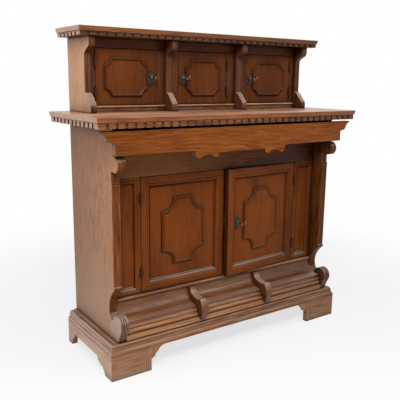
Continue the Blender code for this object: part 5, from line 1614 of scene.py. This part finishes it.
    def hinges(self, leaf: DoorLeaf, finial: Piece) -> None:
        """Dress a door's hinges, and set a finial on each end of their pins.

        Args:
            leaf: Door.
            finial: Pattern of a finial.
        """
        pins, leaves = f"{leaf.body}_hinge_pins", f"{leaf.body}_hinge_leaves"
        iron = self.metals[DARK_IRON.name]
        for node in (pins, leaves):
            frame["nodes"][node].data.materials[0] = iron
        low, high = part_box(pins)[0].z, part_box(leaves)[1].z
        axis = Vector((leaf.hinge.x, leaf.hinge.y, 0.0))
        for word, base in (("lower", low), ("upper", high - self.barrel)):
            top = Matrix.Translation(axis + Vector((0.0, 0.0, base + self.barrel)))
            self.fit(finial, f"{leaf.body}_{word}_top_finial", top, leaf.body, iron)
            foot = Matrix.Translation(axis + Vector((0.0, 0.0, base))) @ Matrix.Rotation(math.pi, 4, "X")
            self.fit(finial, f"{leaf.body}_{word}_foot_finial", foot, "carcass", iron)

    def lock(self, leaf: DoorLeaf, plate: Piece, key: Piece) -> None:
        """Dress a door's lock and bolt, and fit its plate and key.

        Args:
            leaf: Door.
            plate: Pattern of a lock plate.
            key: Pattern of a key.
        """
        frame["nodes"][f"{leaf.body}_lock"].data.materials[0] = self.metals[DARK_IRON.name]
        frame["nodes"][f"{leaf.body}_bolt"].data.materials[0] = self.metals[AGED_BRASS.name]
        axis = next(joint for joint in frame["joints"] if joint["name"] == f"{leaf.body}_key_turn")
        reach = (Vector(axis["pos_m"]) - leaf.hinge).dot(leaf.along)
        rise = (Vector(axis["pos_m"]) - leaf.hinge).dot(leaf.up)
        face = leaf.limits(f"{leaf.body}_lock", leaf.out)[1]
        turn = Matrix.Rotation(-leaf.side * leaf.ajar, 4, "Z")
        place = Matrix.Translation(leaf.at(reach, rise, face - 0.0012)) @ turn
        self.fit(plate, f"{leaf.body}_lock_plate", place, leaf.body, self.metals[BLACK_PLATE.name])
        place = Matrix.Translation(leaf.at(reach, rise, face)) @ turn
        steel = self.metals[WORN_STEEL.name]
        piece = self.fit(key, f"{leaf.body}_turned_key", place, f"{leaf.body}_key", steel)
        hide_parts(f"{leaf.body}_key")


@dataclass
class Studio:
    """Pale floor, soft light from the left, and the camera."""

    azimuth: float = 34.734
    pitch: float = 11.844
    roll: float = 0.669
    eye: tuple[float, float, float] = (-1.4918, -2.0555, 1.1523)
    focal: float = 571.1
    frame_pixels: float = 400.0
    fill: float = 0.18
    floor_size: float = 60.0
    floor_drop: float = 0.0005

    def build(self) -> None:
        """Set the stage."""
        self.floor()
        self.world()
        self.lights()
        self.camera()
        bpy.context.scene.view_settings.view_transform = "Standard"

    def floor(self) -> None:
        """Lay a wide white floor that takes a soft shadow near the object."""
        bpy.ops.object.select_all(action="DESELECT")
        bpy.ops.mesh.primitive_plane_add(size=self.floor_size, location=(0.0, 0.0, -self.floor_drop))
        plane = bpy.context.active_object
        plane.name = "studio_floor"
        graph = Graph(bpy.data.materials.new("studio_floor"))
        graph.shader.inputs["Base Color"].default_value = (0.9, 0.9, 0.9, 1.0)
        graph.shader.inputs["Roughness"].default_value = 0.9
        graph.shader.inputs["Specular IOR Level"].default_value = 0.0
        place = graph.add("ShaderNodeTexCoord").outputs["Object"]
        reach = graph.length(place)
        share = graph.times(graph.seen(), graph.span(reach, 0.7, 2.6, 0.72, 1.0))
        white = graph.add("ShaderNodeEmission", {"Color": (1.0, 1.0, 1.0), "Strength": 1.0}).outputs[0]
        layers = {0: share, 1: graph.shader.outputs[0], 2: white}
        surface = graph.add("ShaderNodeMixShader", layers).outputs[0]
        graph.put(graph.tree.nodes["Material Output"].inputs["Surface"], surface)
        plane.data.materials.append(graph.material)

    def world(self) -> None:
        """Fill light all round, and white where the camera or a reflection looks past the floor."""
        world = bpy.data.worlds.new("studio")
        bpy.context.scene.world = world
        graph = Graph(world)
        background = graph.tree.nodes["Background"]
        background.inputs["Color"].default_value = (1.0, 1.0, 1.0, 1.0)
        graph.put(background.inputs["Strength"], graph.span(graph.seen(), 0.0, 1.0, self.fill, 1.0))

    def lights(self) -> None:
        """Soft boxes: a key in front, one to the left side, one overhead, and a low one to the right."""
        boxes = (("key", (-1.6, -2.2, 2.9), (0.0, 0.0, 0.6), 1.1, 84.0),
                 ("left", (-2.8, 0.7, 2.0), (-0.6, 0.0, 0.7), 1.4, 24.0),
                 ("overhead", (0.3, -0.7, 3.0), (0.0, -0.2, 0.9), 1.8, 22.0),
                 ("right", (1.6, -1.7, 2.6), (0.1, -0.1, 0.3), 0.9, 10.0))
        for name, place, aim, size, power in boxes:
            lamp = bpy.data.lights.new(name, "AREA")
            lamp.energy = power
            lamp.size = size
            obj = bpy.data.objects.new(name, lamp)
            bpy.context.scene.collection.objects.link(obj)
            obj.location = place
            obj.rotation_euler = (Vector(aim) - Vector(place)).to_track_quat("-Z", "Y").to_euler()

    def camera(self) -> None:
        """Stand the camera where the photograph was taken from."""
        azimuth, pitch, roll = (math.radians(angle) for angle in (self.azimuth, self.pitch, self.roll))
        right = Vector((math.cos(azimuth), -math.sin(azimuth), 0.0))
        level = math.cos(pitch)
        ahead = Vector((math.sin(azimuth) * level, math.cos(azimuth) * level, -math.sin(pitch)))
        above = right.cross(ahead)
        axis_x = math.cos(roll) * right + math.sin(roll) * above
        axis_y = -math.sin(roll) * right + math.cos(roll) * above
        data = bpy.data.cameras.new("camera")
        data.sensor_width = 36.0
        data.lens = self.focal / self.frame_pixels * data.sensor_width
        camera = bpy.data.objects.new("camera", data)
        bpy.context.scene.collection.objects.link(camera)
        turn = Matrix((axis_x, axis_y, -ahead)).transposed().to_4x4()
        camera.matrix_world = Matrix.Translation(self.eye) @ turn
        bpy.context.scene.camera = camera


def door_leaves() -> list[DoorLeaf]:
    """Doors of the credenza, placed by their hinges.

    Returns:
        Two framed doors and three hutch doors.
    """
    leaves: list[DoorLeaf] = []
    # The last number dims each door as painted shade, deeper towards the right.
    kinds = {"lower_left_door": (FramedDoor, 1, 0.0, 1.0),
             "lower_right_door": (FramedDoor, -1, math.radians(4.0), 0.96),
             "hutch_left_door": (HutchDoor, 1, 0.0, 0.86), "hutch_middle_door": (HutchDoor, -1, 0.0, 0.82),
             "hutch_right_door": (HutchDoor, -1, 0.0, 0.71)}
    for index, (body, (kind, side, ajar, tone)) in enumerate(kinds.items()):
        joint = next(joint for joint in frame["joints"] if joint["name"] == f"{body}_hinge")
        place = Vector(joint["pos_m"])
        leaves.append(kind(body=body, seed=170 + 12 * index, hinge=place, side=side, ajar=ajar, tone=tone))
    return leaves


def main() -> None:
    """Build every sub-assembly, then the studio."""
    logging.basicConfig(level=logging.INFO)
    leaves = door_leaves()
    for assembly in (Plinth(), LowerCase(), FriezeDrawer(), Counter(), Hutch(), *leaves):
        assembly.build()
        log.info("%s: %d pieces", type(assembly).__name__, len(assembly.pieces))
    Ironwork().build(leaves)
    Studio().build()


if __name__ == "__main__":
    main()
